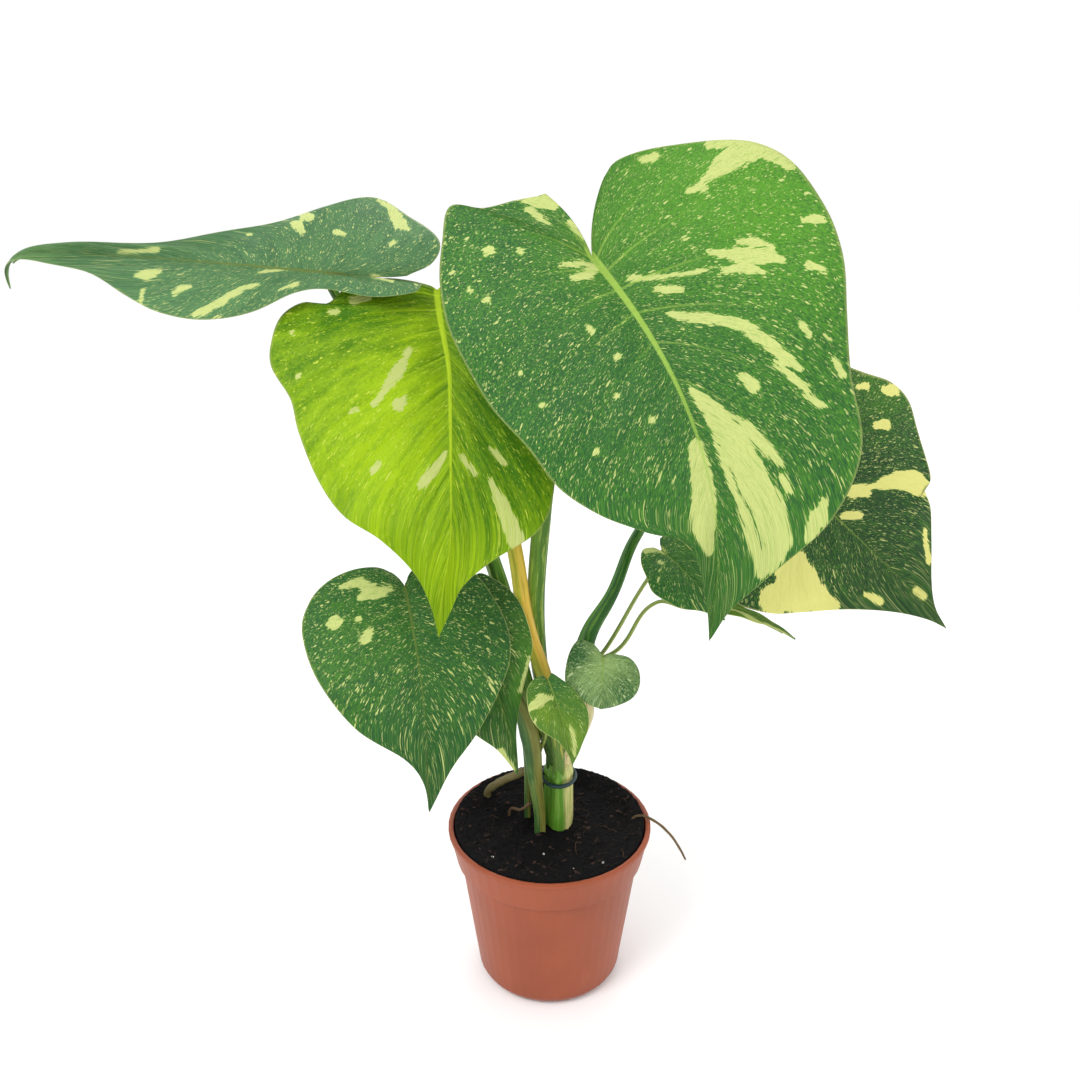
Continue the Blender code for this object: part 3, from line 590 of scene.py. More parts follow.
def marbling_group():
    """Where cream patches, pale flecks and mottling fall, drawn out along the side veins."""
    if "Marbling" in bpy.data.node_groups:
        return bpy.data.node_groups["Marbling"]
    tree, start, end = new_group(
        "Marbling",
        [("Grain", VECTOR), ("Inside Patch", FLOAT), ("Dust", FLOAT), ("Dashes", FLOAT), ("Spots", FLOAT),
         ("Ragged", FLOAT)],
        [("Patch", FLOAT), ("Lines", FLOAT), ("Near Patch", FLOAT), ("Fleck", FLOAT), ("Mottle", FLOAT),
         ("Streak And Highlight", FLOAT)])
    grain = start["Grain"]

    # Patches, with their edges torn along the veins and thin green lines through them
    tear = cloud(tree, stretched(tree, grain, (10, 2.4, 1)), 1.0, 3.0, 0.65)
    broad = cloud(tree, stretched(tree, grain, (3.2, 1.4, 1), (1, 8, 0)), 1.0, 2.0, 0.6)
    tear = sums(tree, "SUBTRACT", sums(tree, "ADD", tear, broad), 0.95)
    inside = sums(tree, "ADD", start["Inside Patch"], sums(tree, "MULTIPLY", tear, start["Ragged"]))
    inside = sums(tree, "ADD", inside, 0.35)
    tree.links.new(mask_between(tree, inside, -0.15, 0.3), end["Patch"])
    tree.links.new(mask_between(tree, inside, -1.6, 0.2), end["Near Patch"])
    lines = cloud(tree, stretched(tree, grain, (9, 1.3, 1), (4, 7, 0)), 1.0, 4.0, 0.7)
    tree.links.new(mask_between(tree, lines, 0.5, 0.66), end["Lines"])

    # Flecks of three sizes, each kept or left out and made stronger or fainter by numbers of its own
    wander = node(tree, "ShaderNodeTexNoise", {"Vector": grain, "Scale": 5.0, "Detail": 2.0}).outputs["Color"]
    wander = vector_sum(tree, "SUBTRACT", {0: wander, 1: (0.5, 0.5, 0.5)})
    bent = vector_sum(tree, "ADD", {0: grain, 1: vector_sum(tree, "SCALE", {0: wander, 3: 0.2})})
    masks = []
    for scale, reach, least, amount in (((20, 8, 1), 0.34, 0.16, start["Dust"]),
                                        ((10, 3.6, 1), 0.4, 0.08, start["Dashes"]),
                                        ((4.4, 1.8, 1), 0.3, 0.04, start["Spots"])):
        cell = node(tree, "ShaderNodeTexVoronoi", {"Vector": stretched(tree, bent, scale), "Scale": 1.0})
        chance = node(tree, "ShaderNodeSeparateColor", {"Color": cell.outputs["Color"]})
        size = sums(tree, "MULTIPLY", chance.outputs["Green"], reach)
        small = sums(tree, "SUBTRACT", sums(tree, "ADD", size, least), cell.outputs["Distance"])
        kept = sums(tree, "LESS_THAN", chance.outputs["Red"], amount)
        strong = sums(tree, "ADD", sums(tree, "MULTIPLY", chance.outputs["Blue"], 0.6), 0.4)
        shown = sums(tree, "MULTIPLY", mask_between(tree, small, -0.04, 0.08), strong)
        masks.append(sums(tree, "MULTIPLY", shown, kept))
    flecks = sums(tree, "MAXIMUM", sums(tree, "MAXIMUM", masks[0], masks[1]), masks[2])
    tree.links.new(flecks, end["Fleck"])
    tree.links.new(cloud(tree, stretched(tree, grain, (12, 6, 1)), 1.0, 5.0, 0.7), end["Mottle"])
    # Broad streaks along the side veins: tone, and painted highlights where a material weights them strongly
    streaks_and_highlights = cloud(tree, stretched(tree, bent, (1.9, 0.5, 1), (2, 5, 0)), 1.0, 5.0, 0.62)
    tree.links.new(streaks_and_highlights, end["Streak And Highlight"])
    return tree


def skin_group():
    """The fine relief of a leaf's skin: veins, their net and a soft grain, as a height in millimetres."""
    if "Leaf skin" in bpy.data.node_groups:
        return bpy.data.node_groups["Leaf skin"]
    tree, start, end = new_group(
        "Leaf skin", [("Grain", VECTOR), ("From Vein", FLOAT), ("Vein Height", FLOAT)], [("Height", FLOAT)])
    grain = start["Grain"]
    cells = {"Vector": stretched(tree, grain, (8, 4, 1)), "Scale": 1.0}
    net = node(tree, "ShaderNodeTexVoronoi", cells, feature="DISTANCE_TO_EDGE").outputs["Distance"]
    net = sums(tree, "MULTIPLY", mask_between(tree, net, 0.0, 0.16), 0.09)
    fine = sums(tree, "MULTIPLY", cloud(tree, grain, 22.0, 4.0, 0.7), 0.16)
    folds = sums(tree, "MULTIPLY", cloud(tree, stretched(tree, grain, (1.6, 0.5, 1)), 1.0, 2.0), 1.1)
    vein = mask_below(tree, start["From Vein"], 0.0, 0.9)
    vein = sums(tree, "MULTIPLY", vein, start["Vein Height"])
    low = sums(tree, "ADD", sums(tree, "ADD", net, fine), folds)
    tree.links.new(sums(tree, "ADD", low, vein), end["Height"])
    return tree


def new_material(name, roughness, **constants):
    """A material with its Principled shader, and the shader's even values set on its own sockets."""
    surface = bpy.data.materials.new(name)
    surface.use_nodes = True
    tree = surface.node_tree
    shader = tree.nodes["Principled BSDF"]
    shader.inputs["Roughness"].default_value = roughness
    for word, value in constants.items():
        shader.inputs[word.replace("_", " ")].default_value = value
    return surface, tree, shader


def bumped(tree, shader, height, distance=MM, strength=1.0):
    bump = node(tree, "ShaderNodeBump", {"Height": height, "Distance": distance, "Strength": strength})
    tree.links.new(bump.outputs["Normal"], shader.inputs["Normal"])


def marbled(tree, grain, dust, dashes, spots, ragged):
    """A marbling group in a leaf's material. dashes may be a socket."""
    marbling = node(tree, "ShaderNodeGroup", node_tree=marbling_group())
    values = {"Grain": grain, "Inside Patch": painted(tree, "cream"), "Dust": dust, "Dashes": dashes,
              "Spots": spots, "Ragged": ragged}
    for word, value in values.items():
        if isinstance(value, bpy.types.NodeSocket):
            tree.links.new(value, marbling.inputs[word])
        else:
            marbling.inputs[word].default_value = value
    return marbling.outputs


def leaf_material(name, dark, light, cream, rib_colour, roughness=0.42, dust=0.3, dashes=0.26, spots=0.22,
                  ragged=4.4, fleck=None, veins=0.2, vein_height=-0.15, lines=0.45, streaks_and_highlights=0.8,
                  mottling=3.0, edge=0.35, gloss=0.25, rib_fade=0.75):
    """A blade's upper skin: two greens, cream patches, pale flecks, and its midrib and veins."""
    surface, tree, shader = new_material(name, roughness, Specular_IOR_Level=gloss)
    grain = node(tree, "ShaderNodeUVMap", uv_map="Grain").outputs["UV"]
    crowd = cloud(tree, stretched(tree, grain, (0.5, 0.5, 1), (3, 1, 0)), 1.0, 2.0)
    density = sums(tree, "MULTIPLY", mask_between(tree, crowd, 0.25, 0.75), 2 * dashes)
    marbling = marbled(tree, grain, dust, density, spots, ragged)

    # Two greens, by the blade's own shading, streaks along the veins and a fine mottle; strong streaks, as on
    # the lime blade, are painted highlights
    tone = painted(tree, "shade")
    for word, amount in (("Streak And Highlight", streaks_and_highlights), ("Mottle", mottling)):
        part = sums(tree, "MULTIPLY", sums(tree, "SUBTRACT", marbling[word], 0.5), amount)
        tone = sums(tree, "ADD", tone, part)
    tone = sums(tree, "MINIMUM", sums(tree, "MAXIMUM", tone, 0.0), 1.0)
    green = mixed(tree, tone, dark, light)
    halo = sums(tree, "MULTIPLY", sums(tree, "MULTIPLY", marbling["Near Patch"], marbling["Mottle"]), 0.5)
    green = mixed(tree, halo, green, light)

    # Flecks, patches with green lines in them, veins, midrib and the pale margin
    green = mixed(tree, sums(tree, "MULTIPLY", marbling["Fleck"], 0.92), green, fleck or cream)
    speckle = sums(tree, "MULTIPLY", mask_between(tree, marbling["Mottle"], 0.48, 0.64), 0.6)
    speckle = sums(tree, "MULTIPLY", sums(tree, "MAXIMUM", marbling["Lines"], speckle), lines)
    patch = mixed(tree, speckle, cream, light)
    colour = mixed(tree, marbling["Patch"], green, patch)
    vein = mask_below(tree, painted(tree, "vein"), -0.3, 0.5)
    fade = mask_below(tree, painted(tree, "edge"), 0.15, 0.75)
    first = mask_below(tree, painted(tree, "near_tip"), 0.1, 0.7)
    shown = sums(tree, "MULTIPLY", first, veins)
    vein = sums(tree, "MULTIPLY", sums(tree, "MULTIPLY", vein, fade), shown)
    colour = mixed(tree, vein, colour, rib_colour)
    rib = mask_below(tree, painted(tree, "rib"), -0.5, 0.4)
    far = sums(tree, "MULTIPLY", mask_between(tree, painted(tree, "near_tip"), 0.15, 0.9), rib_fade)
    rib = sums(tree, "MULTIPLY", rib, sums(tree, "SUBTRACT", 1.0, far))
    colour = mixed(tree, rib, colour, rib_colour)
    rim = sums(tree, "MULTIPLY", mask_between(tree, painted(tree, "edge"), 0.98, 0.997), edge)
    colour = mixed(tree, rim, colour, cream)
    tree.links.new(colour, shader.inputs["Base Color"])

    rough = {"Value": marbling["Mottle"], "To Min": roughness - 0.08, "To Max": roughness + 0.12}
    tree.links.new(node(tree, "ShaderNodeMapRange", rough).outputs["Result"], shader.inputs["Roughness"])
    skinned(tree, shader, grain, vein_height)
    return surface


def skinned(tree, shader, grain, vein_height):
    """Puts the leaf's skin relief on a shader."""
    skin = node(tree, "ShaderNodeGroup", node_tree=skin_group())
    tree.links.new(grain, skin.inputs["Grain"])
    tree.links.new(painted(tree, "vein"), skin.inputs["From Vein"])
    skin.inputs["Vein Height"].default_value = vein_height
    bumped(tree, shader, skin.outputs["Height"])


def under_material(name, green, pale, cream, roughness=0.55):
    """A blade's paler matte underside, with raised veins and the patches showing through."""
    surface, tree, shader = new_material(name, roughness, Specular_IOR_Level=0.25)
    grain = node(tree, "ShaderNodeUVMap", uv_map="Grain").outputs["UV"]
    marbling = marbled(tree, grain, 0.08, 0.1, 0.08, 2.2)
    tone = mask_between(tree, marbling["Mottle"], 0.3, 0.7)
    colour = mixed(tree, sums(tree, "MULTIPLY", tone, 0.5), green, pale)
    colour = mixed(tree, sums(tree, "MULTIPLY", marbling["Fleck"], 0.5), colour, cream)
    colour = mixed(tree, sums(tree, "MULTIPLY", marbling["Patch"], 0.8), colour, cream)
    for word, amount in (("vein", 0.5), ("rib", 1.0)):
        line = mask_below(tree, painted(tree, word), -0.2, 0.55)
        colour = mixed(tree, sums(tree, "MULTIPLY", line, amount), colour, pale)
    tree.links.new(colour, shader.inputs["Base Color"])
    skinned(tree, shader, grain, 0.4)
    return surface


def stalk_material(name, left, right, stripe, stripes=0.5, roughness=0.42, head=None, foot=None,
                   split=0.0):
    """A stalk's skin: a colour each side of split, stripes, and others towards its head and foot."""
    surface, tree, shader = new_material(name, roughness, Specular_IOR_Level=0.25)
    uv = node(tree, "ShaderNodeUVMap", uv_map="Round").outputs["UV"]
    lengthwise = cloud(tree, stretched(tree, uv, (11, 0.03, 1)), 1.0, 3.0, 0.6)
    broad = cloud(tree, stretched(tree, uv, (3, 0.02, 1), (5, 2, 0)), 1.0, 1.0)
    drift = sums(tree, "MULTIPLY", sums(tree, "SUBTRACT", broad, 0.5), 0.8)
    side = mask_between(tree, sums(tree, "ADD", painted(tree, "side"), drift), split - 0.25, split + 0.25)
    colour = mixed(tree, side, left, right)
    if head:
        colour = mixed(tree, mask_between(tree, painted(tree, "share"), 0.3, 0.75), colour, head)
    if foot:
        low = mask_below(tree, painted(tree, "share"), 0.12, 0.34)
        colour = mixed(tree, low, colour, foot)
    lines = sums(tree, "MULTIPLY", mask_between(tree, lengthwise, 0.5, 0.6), stripes)
    colour = mixed(tree, lines, colour, stripe)
    shaded = sums(tree, "MULTIPLY", mask_between(tree, lengthwise, 0.34, 0.46), 0.45)
    shaded = sums(tree, "SUBTRACT", 0.45, shaded)
    colour = mixed(tree, shaded, colour, tuple(channel * 0.35 for channel in left))
    fleck = cloud(tree, stretched(tree, uv, (40, 0.8, 1)), 1.0, 2.0)
    fleck = sums(tree, "MULTIPLY", mask_between(tree, fleck, 0.62, 0.7), 0.3)
    colour = mixed(tree, fleck, colour, stripe)
    tree.links.new(colour, shader.inputs["Base Color"])
    bumped(tree, shader, sums(tree, "MULTIPLY", lengthwise, 0.4))
    return surface


# Round pieces: stalks, roots and the crown

def way_through(points, resolution=14):
    """The same smooth way as the plain stalk's, as places and their radii."""
    path = bpy.data.curves.new("way", "CURVE")
    path.dimensions = "3D"
    path.resolution_u = resolution
    spline = path.splines.new("BEZIER")
    spline.bezier_points.add(len(points) - 1)
    for knot, (place, _) in zip(spline.bezier_points, points):
        knot.co = place
        knot.handle_left_type = "AUTO"
        knot.handle_right_type = "AUTO"
    thing = bpy.data.objects.new("way", path)
    bpy.context.scene.collection.objects.link(thing)
    bpy.context.view_layer.update()
    mesh = bpy.data.meshes.new_from_object(thing.evaluated_get(bpy.context.evaluated_depsgraph_get()))
    places = np.array([corner.co for corner in mesh.vertices])
    bpy.data.objects.remove(thing, do_unlink=True)
    bpy.data.meshes.remove(mesh)
    radii = np.interp(np.linspace(0, len(points) - 1, len(places)), range(len(points)),
                      [radius for _, radius in points])
    return places, radii


def sweep(name, places, radii, look, sides, form, face=(0, -1, 0)):
    """A closed tube along places. form(angle, share) scales its radius, with angle 0 towards face."""
    ahead = np.gradient(places, axis=0)
    ahead = ahead / np.linalg.norm(ahead, axis=1)[:, None]
    run = np.r_[0, np.cumsum(np.linalg.norm(np.diff(places, axis=0), axis=1))]
    front = np.array(face, float)
    corners, uvs, side_of, share_of = [], [], [], []
    angles = np.linspace(0, 2 * math.pi, sides, endpoint=False)
    for number, (place, direction) in enumerate(zip(places, ahead)):
        front = front - direction * (front @ direction)
        front = front / np.linalg.norm(front)
        right = np.cross(direction, front)
        share = run[number] / run[-1]
        scale = radii[number] * form(angles, share)
        towards, aside = ((turn(angles) * scale)[:, None] for turn in (np.cos, np.sin))
        ring = place + towards * front + aside * right
        corners += [tuple(corner) for corner in ring]
        side_of += list(np.sin(angles))
        share_of += [share] * sides
    rings = len(places)
    faces = []
    for ring in range(rings - 1):
        for step in range(sides):
            here, beside = ring * sides + step, ring * sides + (step + 1) % sides
            faces.append((here, beside, beside + sides, here + sides))
            low, high = run[ring] / MM, run[ring + 1] / MM
            left, right = step / sides, (step + 1) / sides
            uvs += [left, low, right, low, right, high, left, high]
    faces.append(tuple(range(sides))[::-1])
    faces.append(tuple(range((rings - 1) * sides, rings * sides)))
    uvs += [0.0, 0.0] * (2 * sides)
    mesh = bpy.data.meshes.new(name)
    mesh.from_pydata(corners, [], faces)
    mesh.shade_smooth()
    mesh.uv_layers.new(name="Round").data.foreach_set("uv", uvs)
    mesh.attributes.new("side", "FLOAT", "POINT").data.foreach_set("value", side_of)
    mesh.attributes.new("share", "FLOAT", "POINT").data.foreach_set("value", share_of)
    return new_piece(name, mesh, look)


def under(blade, along, gap, out=0.0):
    """A place below the blade's midrib, and the way down from the blade there."""
    here, ahead, beside = (Vector(p) for p in bend(blade, np.array((along, along + MM, along)),
                                                   np.array((out, out, out + MM))))
    down = (beside - here).cross(ahead - here).normalized()
    return here + down * gap, down


# The four main stalks: foot on the crown from its centre, then each place on the way up with its radius
MAIN_STALKS = {
    "stalk_left_long": ("leaf_left_long", (-4.2, 0), 3.4,
                        (((-12, 4, 183), 4.6), ((-29, 14, 251), 4.6), ((-74, 56, 348), 3)), 2.2),
    "stalk_lime": ("leaf_lime", (0, -6.1), 3.4,
                   (((-3, -3, 197), 4.4), ((-12, 1, 224), 4.5), ((-19, 7, 268), 4.2),
                    ((-38, 38, 352), 3)), 2.4),
    "stalk_front_large": ("leaf_front_large", (0, 6.1), 3.4,
                          (((-6, 10, 200), 4.8), ((-5, 8, 284), 5), ((8, 6, 360), 3.4)), 2.6),
    "stalk_right_large": ("leaf_right_large", (4.2, 0), 3.4,
                          (((12.5, 0.5, 152), 5.2), ((17, 0, 172), 8), ((21, 4, 217), 4.4),
                           ((35, 10, 243), 3.2), ((48, 22, 272), 2.9), ((80, 66, 292), 2.4)), 1.9),
}

# The thinner stalks: foot in the soil, then each place on the way up with its radius
SOIL_STALKS = {
    "stalk_lower_left": ("leaf_lower_left", (-5.6, -7.6), 3.4,
                         (((-5.9, -8, 113), 3.4), ((-7.8, -10, 131), 4.0), ((-11.8, -10.5, 166), 5.4),
                          ((-19, -8, 186), 3.6), ((-30, -3, 203), 2.4), ((-60, 6, 240), 1.8)), 1.4),
    "stalk_tucked": ("leaf_tucked", (-13, 5), 1.9,
                     (((-14, 3, 150), 1.9), ((-20, 1.5, 186), 1.9), ((-31, 5, 212), 1.7)), 1.3),
    "stalk_small_centre": ("leaf_small_centre", (-7, 5.5), 1.3,
                           (((-8, 3.2, 131), 1.3), ((-6.5, -1.2, 146), 1.3), ((-3, -8.5, 162), 1.3),
                            ((0, -16, 188), 1.2)), 1.0),
    "stalk_small_round": ("leaf_small_round", (13, 14), 1.4,
                          (((14, 13, 150), 1.4), ((21, 11.5, 182), 1.3), ((28, 5, 204), 1.1)), 0.9),
    "stalk_small_right": ("leaf_small_right", (8.5, 18), 1.3,
                          (((10, 18, 150), 1.3), ((21, 17, 188), 1.2), ((33, 13, 209), 1.2),
                           ((53, 11, 249), 1.1)), 1.0),
    "stalk_narrow_right": ("leaf_narrow_right", (3, 19), 1.3,
                           (((4, 20, 150), 1.3), ((20, 22, 190), 1.2), ((39, 16, 205), 1.2),
                            ((60, 13, 236), 1.1)), 1.0),
}

# Stub and roots: foot in the soil, then each place with its radius
RUNNERS = {
    "stub": ((-38, 27.5), 2.4, (((-38, 27.5, 101), 2.4), ((-34, 25.5, 107), 2.5), ((-18, 15, 123), 2.5),
                              ((-7, 9, 132), 2.4))),
    "root_left": ((-24, 10), 0.8, (((-23.5, 9.5, 101), 0.8), ((-17, 1, 107), 0.9),
                                   ((-11.4, -8.3, 118), 1.0))),
    "root_over_rim": ((50, 2), 0.8, (((50, 2, 100), 0.8), ((55, 1, 102.6), 0.8), ((60, 0, 101.2), 0.8),
                                     ((70, -4, 95), 0.8), ((78, -7, 84), 0.7), ((81, -8, 78), 0.5))),
}


def in_mm(place):
    return Vector(place) * MM


def stalk_way(node_name):
    """The blade that a plain stalk carries, and the stalk's points with their radii."""
    if node_name in MAIN_STALKS:
        leaf_name, foot, foot_radius, places, head_radius = MAIN_STALKS[node_name]
        start = CROWN_CENTRE + in_mm((*foot, 0)) + Vector((0, 0, CROWN_TOP + GAP))
        low = [start, start + in_mm((0, 0, 5))]
    else:
        leaf_name, foot, foot_radius, places, head_radius = SOIL_STALKS[node_name]
        start = in_mm((*foot, 0)) + Vector((0, 0, SOIL_TOP - SOIL_HOLE_DEPTH + GAP))
        collar = in_mm((*foot, 0)) + Vector((0, 0, SOIL_TOP + 8 * MM))
        low = [start, (start + collar) / 2, collar]
    blade = LEAVES[leaf_name]
    head_radius = head_radius * MM
    head, down = under(blade, 2.2 * head_radius, STALK_TO_BLADE)
    way = [(place, foot_radius * MM) for place in low]
    way += [(in_mm(place), radius * MM) for place, radius in places]
    return blade, [*way, (head + down * 4 * head_radius, head_radius), (head, head_radius)]


def petiole_form(groove, wing, wing_end, knee=0.12):
    """A stalk's section: a channel down its front, wings beside it low down, and a thicker knee."""
    def form(angles, share):
        near = (angles + math.pi) % (2 * math.pi) - math.pi
        scale = 1 - groove * np.exp(-(near / 0.45) ** 2)
        rise = max(0.0, 1 - share / wing_end) ** 0.7
        scale = scale + wing * rise * np.exp(-((np.abs(near) - 0.75) / 0.2) ** 2)
        scale = scale + 0.03 * np.cos(9 * near)
        return scale * (1 + knee * math.exp(-((share - 0.94) / 0.035) ** 2))
    return form


def fine_stalk(name, node_name, look, form, face=(0, -1, 0)):
    """A stalk's channelled, winged tube in place of its plain solid."""
    points = stalk_way(node_name)[1]
    if node_name in MAIN_STALKS:
        # The stalk's sheath, which comes out of the crown's side below its top
        foot, radius = points[0]
        inward = (CROWN_CENTRE + Vector((0, 0, CROWN_TOP)) - foot) * Vector((1, 1, 0))
        low = foot + 0.5 * inward - Vector((0, 0, SHEATH_LOW))
        middle = foot + 0.12 * inward - Vector((0, 0, SHEATH_MIDDLE))
        points = [(low, 0.6 * radius), (middle, 0.95 * radius), *points]
    places, radii = way_through(points)
    stalk = sweep(name, places, radii, look, STALK_SIDES, form, face)
    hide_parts(node_name)
    return stalk


def midrib_below(name, node_name, look):
    """The raised midrib on a blade's underside, from the stalk's head towards the tip."""
    blade, points = stalk_way(node_name)
    length, thick = blade["length"], points[-1][1]
    stations = np.linspace(0.3 * thick, UNDER_RIB_REACH * length, UNDER_RIB_STATIONS)
    places, radii = [], []
    for station in stations:
        share = station / length
        radius = thick * 0.8 * (1 - share) ** 0.8 + 0.25 * MM
        lean = lean_of(node_name.replace("stalk_", "leaf_"), share)
        places.append(np.array(under(blade, station, radius + 1.1 * MM, lean)[0]))
        radii.append(radius)

    def oval(angles, share):
        return 0.85 + 0.15 * np.cos(2 * angles)

    return sweep(name, np.array(places), np.array(radii), look, UNDER_RIB_SIDES, oval, face=(0, 0, 1))


def crown_form(angle, share):
    """How far out the crown's side stands at an angle and height, as a share of its oval."""
    lobes = 0.10 * math.cos(4 * angle + 0.5) + 0.05 * math.cos(7 * angle - 1.0)
    return 1 + lobes * share - 0.04 * math.sin(3 * math.pi * share)


def make_crown(look):
    """A short stem wrapped in the stalks' sheaths, ribbed down its length."""
    rings, sides = 44, 96
    height = CROWN_TOP - CROWN_FOOT
    shape = bmesh.new()
    side_layer = shape.verts.layers.float.new("side")
    share_layer = shape.verts.layers.float.new("share")
    uv_layer = shape.loops.layers.uv.new("Round")
    grid = []
    for ring in range(rings + 1):
        share = ring / rings
        line = []
        for step in range(sides):
            angle = 2 * math.pi * step / sides
            reach = crown_form(angle, share) * (1 - CROWN_TAPER * smooth((share - 0.91) / 0.09))
            ribs = 0.012 * math.cos(36 * angle + 3 * share)
            radius = reach + ribs
            corner = shape.verts.new((CROWN_CENTRE.x + CROWN_HALF_WIDTH * radius * math.cos(angle),
                                      CROWN_CENTRE.y + CROWN_HALF_DEPTH * radius * math.sin(angle),
                                      CROWN_FOOT + height * share))
            corner[side_layer] = math.cos(angle)
            corner[share_layer] = share
            line.append(corner)
        grid.append(line)
    for ring in range(rings):
        for step in range(sides):
            beside = (step + 1) % sides
            face = shape.faces.new((grid[ring][step], grid[ring][beside], grid[ring + 1][beside],
                                    grid[ring + 1][step]))
            for loop, (across, up) in zip(face.loops, ((0, 0), (1, 0), (1, 1), (0, 1))):
                loop[uv_layer].uv = ((step + across) / sides * 3, (ring + up) / rings * height / MM)
    shape.faces.new(grid[0][::-1])
    shape.faces.new(grid[-1])
    crown = finished(shape, "stem_sheaths", look)
    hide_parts("crown")
    return crown


# Soil and pot

def soil_height(x, y, radius):
    """The mound's height at a place: the plain soil's form with clods and crumbs on it."""
    away = math.hypot(x, y) / radius
    lump = math.sin(95 * x + 1.1) * math.cos(120 * y - 0.4) + 0.6 * math.sin(260 * x - 180 * y)
    height = SOIL_TOP + SOIL_CROWN_RISE * (1 - away * away) ** 2 + 1.2 * MM * lump * (1 - away ** 4)
    clods = noise.fractal(Vector((x * 90, y * 90, 3.0)), 0.9, 2.1, 3)
    crumbs = noise.fractal(Vector((x * 420, y * 420, 8.0)), 0.7, 2.2, 4)
    behind = float(smooth((y / radius + 0.6) / 0.8))
    heaped = (SOIL_HEAP + SOIL_HEAP_BEHIND * behind) * float(smooth((away - 0.72) / 0.26))
    return height + (1.1 * clods + 0.75 * crumbs + heaped) * MM


def soil_radius():
    share = (COLLAR_HEIGHT - (POT_HEIGHT - SOIL_TOP) - MM) / COLLAR_HEIGHT
    return COLLAR_FOOT_RADIUS + share * (RIM_RADIUS - WALL - COLLAR_FOOT_RADIUS) - WALL - 0.4 * MM


def make_soil(look):
    """The soil's block with a rough crumbly top."""
    rings, sides = 90, 260
    radius = soil_radius()
    shape = bmesh.new()
    centre = shape.verts.new((0, 0, soil_height(0, 0, radius)))
    grid = []
    for ring in range(1, rings + 1):
        out = radius * (ring / rings) ** 0.8
        line = []
        for step in range(sides):
            angle = 2 * math.pi * (step + 0.5 * (ring % 2)) / sides
            x, y = out * math.cos(angle), out * math.sin(angle)
            tucked = 3 * MM if ring == rings else 0
            line.append(shape.verts.new((x, y, soil_height(x, y, radius) - tucked)))
        grid.append(line)
    for out, height in ((50 * MM, POT_HEIGHT - COLLAR_HEIGHT - 2.5 * MM),
                        (BODY_FOOT_RADIUS - 4 * MM, 8 * MM)):
        line = []
        for step in range(sides):
            angle = 2 * math.pi * step / sides
            line.append(shape.verts.new((out * math.cos(angle), out * math.sin(angle), height)))
        grid.append(line)
    for step in range(sides):
        shape.faces.new((centre, grid[0][step], grid[0][(step + 1) % sides]))
    for inner, outer in zip(grid, grid[1:]):
        for step in range(sides):
            beside = (step + 1) % sides
            shape.faces.new((inner[step], outer[step], outer[beside], inner[beside]))
    shape.faces.new(grid[-1][::-1])
    soil = finished(shape, "soil_crumb", look)
    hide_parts("soil")
    return soil


def scattered(name, count, make_one, look, seed):
    """Many small bits as one piece, each with a tone of its own."""
    chance = random.Random(seed)
    shape = bmesh.new()
    tone = shape.verts.layers.float.new("tone")
    for _ in range(count):
        before = len(shape.verts)
        make_one(shape, chance)
        shape.verts.ensure_lookup_table()
        value = chance.random()
        for number in range(before, len(shape.verts)):
            shape.verts[number][tone] = value
    thing = finished(shape, name, look, smoothly=False)
    return thing


def on_soil(chance, reach=0.96):
    """A place on the soil's top, clear of the crown."""
    radius = soil_radius()
    while True:
        x, y = chance.uniform(-radius, radius), chance.uniform(-radius, radius)
        from_crown = math.hypot(x - CROWN_CENTRE.x, y - CROWN_CENTRE.y)
        if math.hypot(x, y) < reach * radius and from_crown > 13 * MM:
            return Vector((x, y, soil_height(x, y, radius)))


def bark_chip(shape, chance):
    """A flat angular flake of bark or peat, half sunk in the soil."""
    place = on_soil(chance)
    size = chance.uniform(0.8, 3.2) * MM * chance.uniform(0.5, 1)
    turn = Matrix.Rotation(chance.uniform(0, 2 * math.pi), 4, "Z")
    turn = turn @ Matrix.Rotation(chance.uniform(-0.5, 0.5), 4, "X")
    corners = []
    for _ in range(9):
        corner = Vector([chance.uniform(-half, half) for half in (1, 0.6, 0.35)]) * size
        corners.append(shape.verts.new(place + turn @ corner))
    bmesh.ops.convex_hull(shape, input=corners)
    inner = [corner for corner in corners if corner.is_valid and not corner.link_faces]
    bmesh.ops.delete(shape, geom=inner, context="VERTS")


def perlite(shape, chance):
    """A small white lump."""
    place = on_soil(chance, 0.9)
    size = chance.uniform(0.4, 0.8) * MM
    made = bmesh.ops.create_icosphere(shape, subdivisions=2, radius=size)["verts"]
    for corner in made:
        corner.co *= 1 + 0.35 * noise.noise(corner.co / size * 1.7 + place * 900)
        corner.co += place + Vector((0, 0, 0.3 * size))


def fibre(shape, chance, low=0.10, high=0.28):
    """A thin curled root hair lying on the soil."""
    place = on_soil(chance, 0.93)
    heading, bend_by = chance.uniform(0, 2 * math.pi), chance.uniform(-0.5, 0.5)
    thick = chance.uniform(low, high) * MM
    step = chance.uniform(0.8, 1.9) * MM
    lift = chance.uniform(0.1, 0.9) * MM
    rings = []
    count = 9
    for number in range(count):
        over = Vector((place.x, place.y, soil_height(place.x, place.y, soil_radius())))
        over.z += lift * math.sin(math.pi * number / (count - 1)) + 0.3 * thick
        across = Vector((-math.sin(heading), math.cos(heading), 0))
        width = thick * (1 - 0.6 * abs(2 * number / (count - 1) - 1))
        rings.append([shape.verts.new(over + across * width * a + Vector((0, 0, width * b)))
                      for a, b in ((1, 0), (0, 1), (-1, 0), (0, -1))])
        place = place + Vector((math.cos(heading), math.sin(heading), 0)) * step
        if place.xy.length > 0.95 * soil_radius():
            heading += math.pi / 2
        heading += bend_by
    for first, second in zip(rings, rings[1:]):
        for number in range(4):
            beside = (number + 1) % 4
            shape.faces.new((first[number], second[number], second[beside], first[beside]))
    shape.faces.new(rings[0])
    shape.faces.new(rings[-1][::-1])


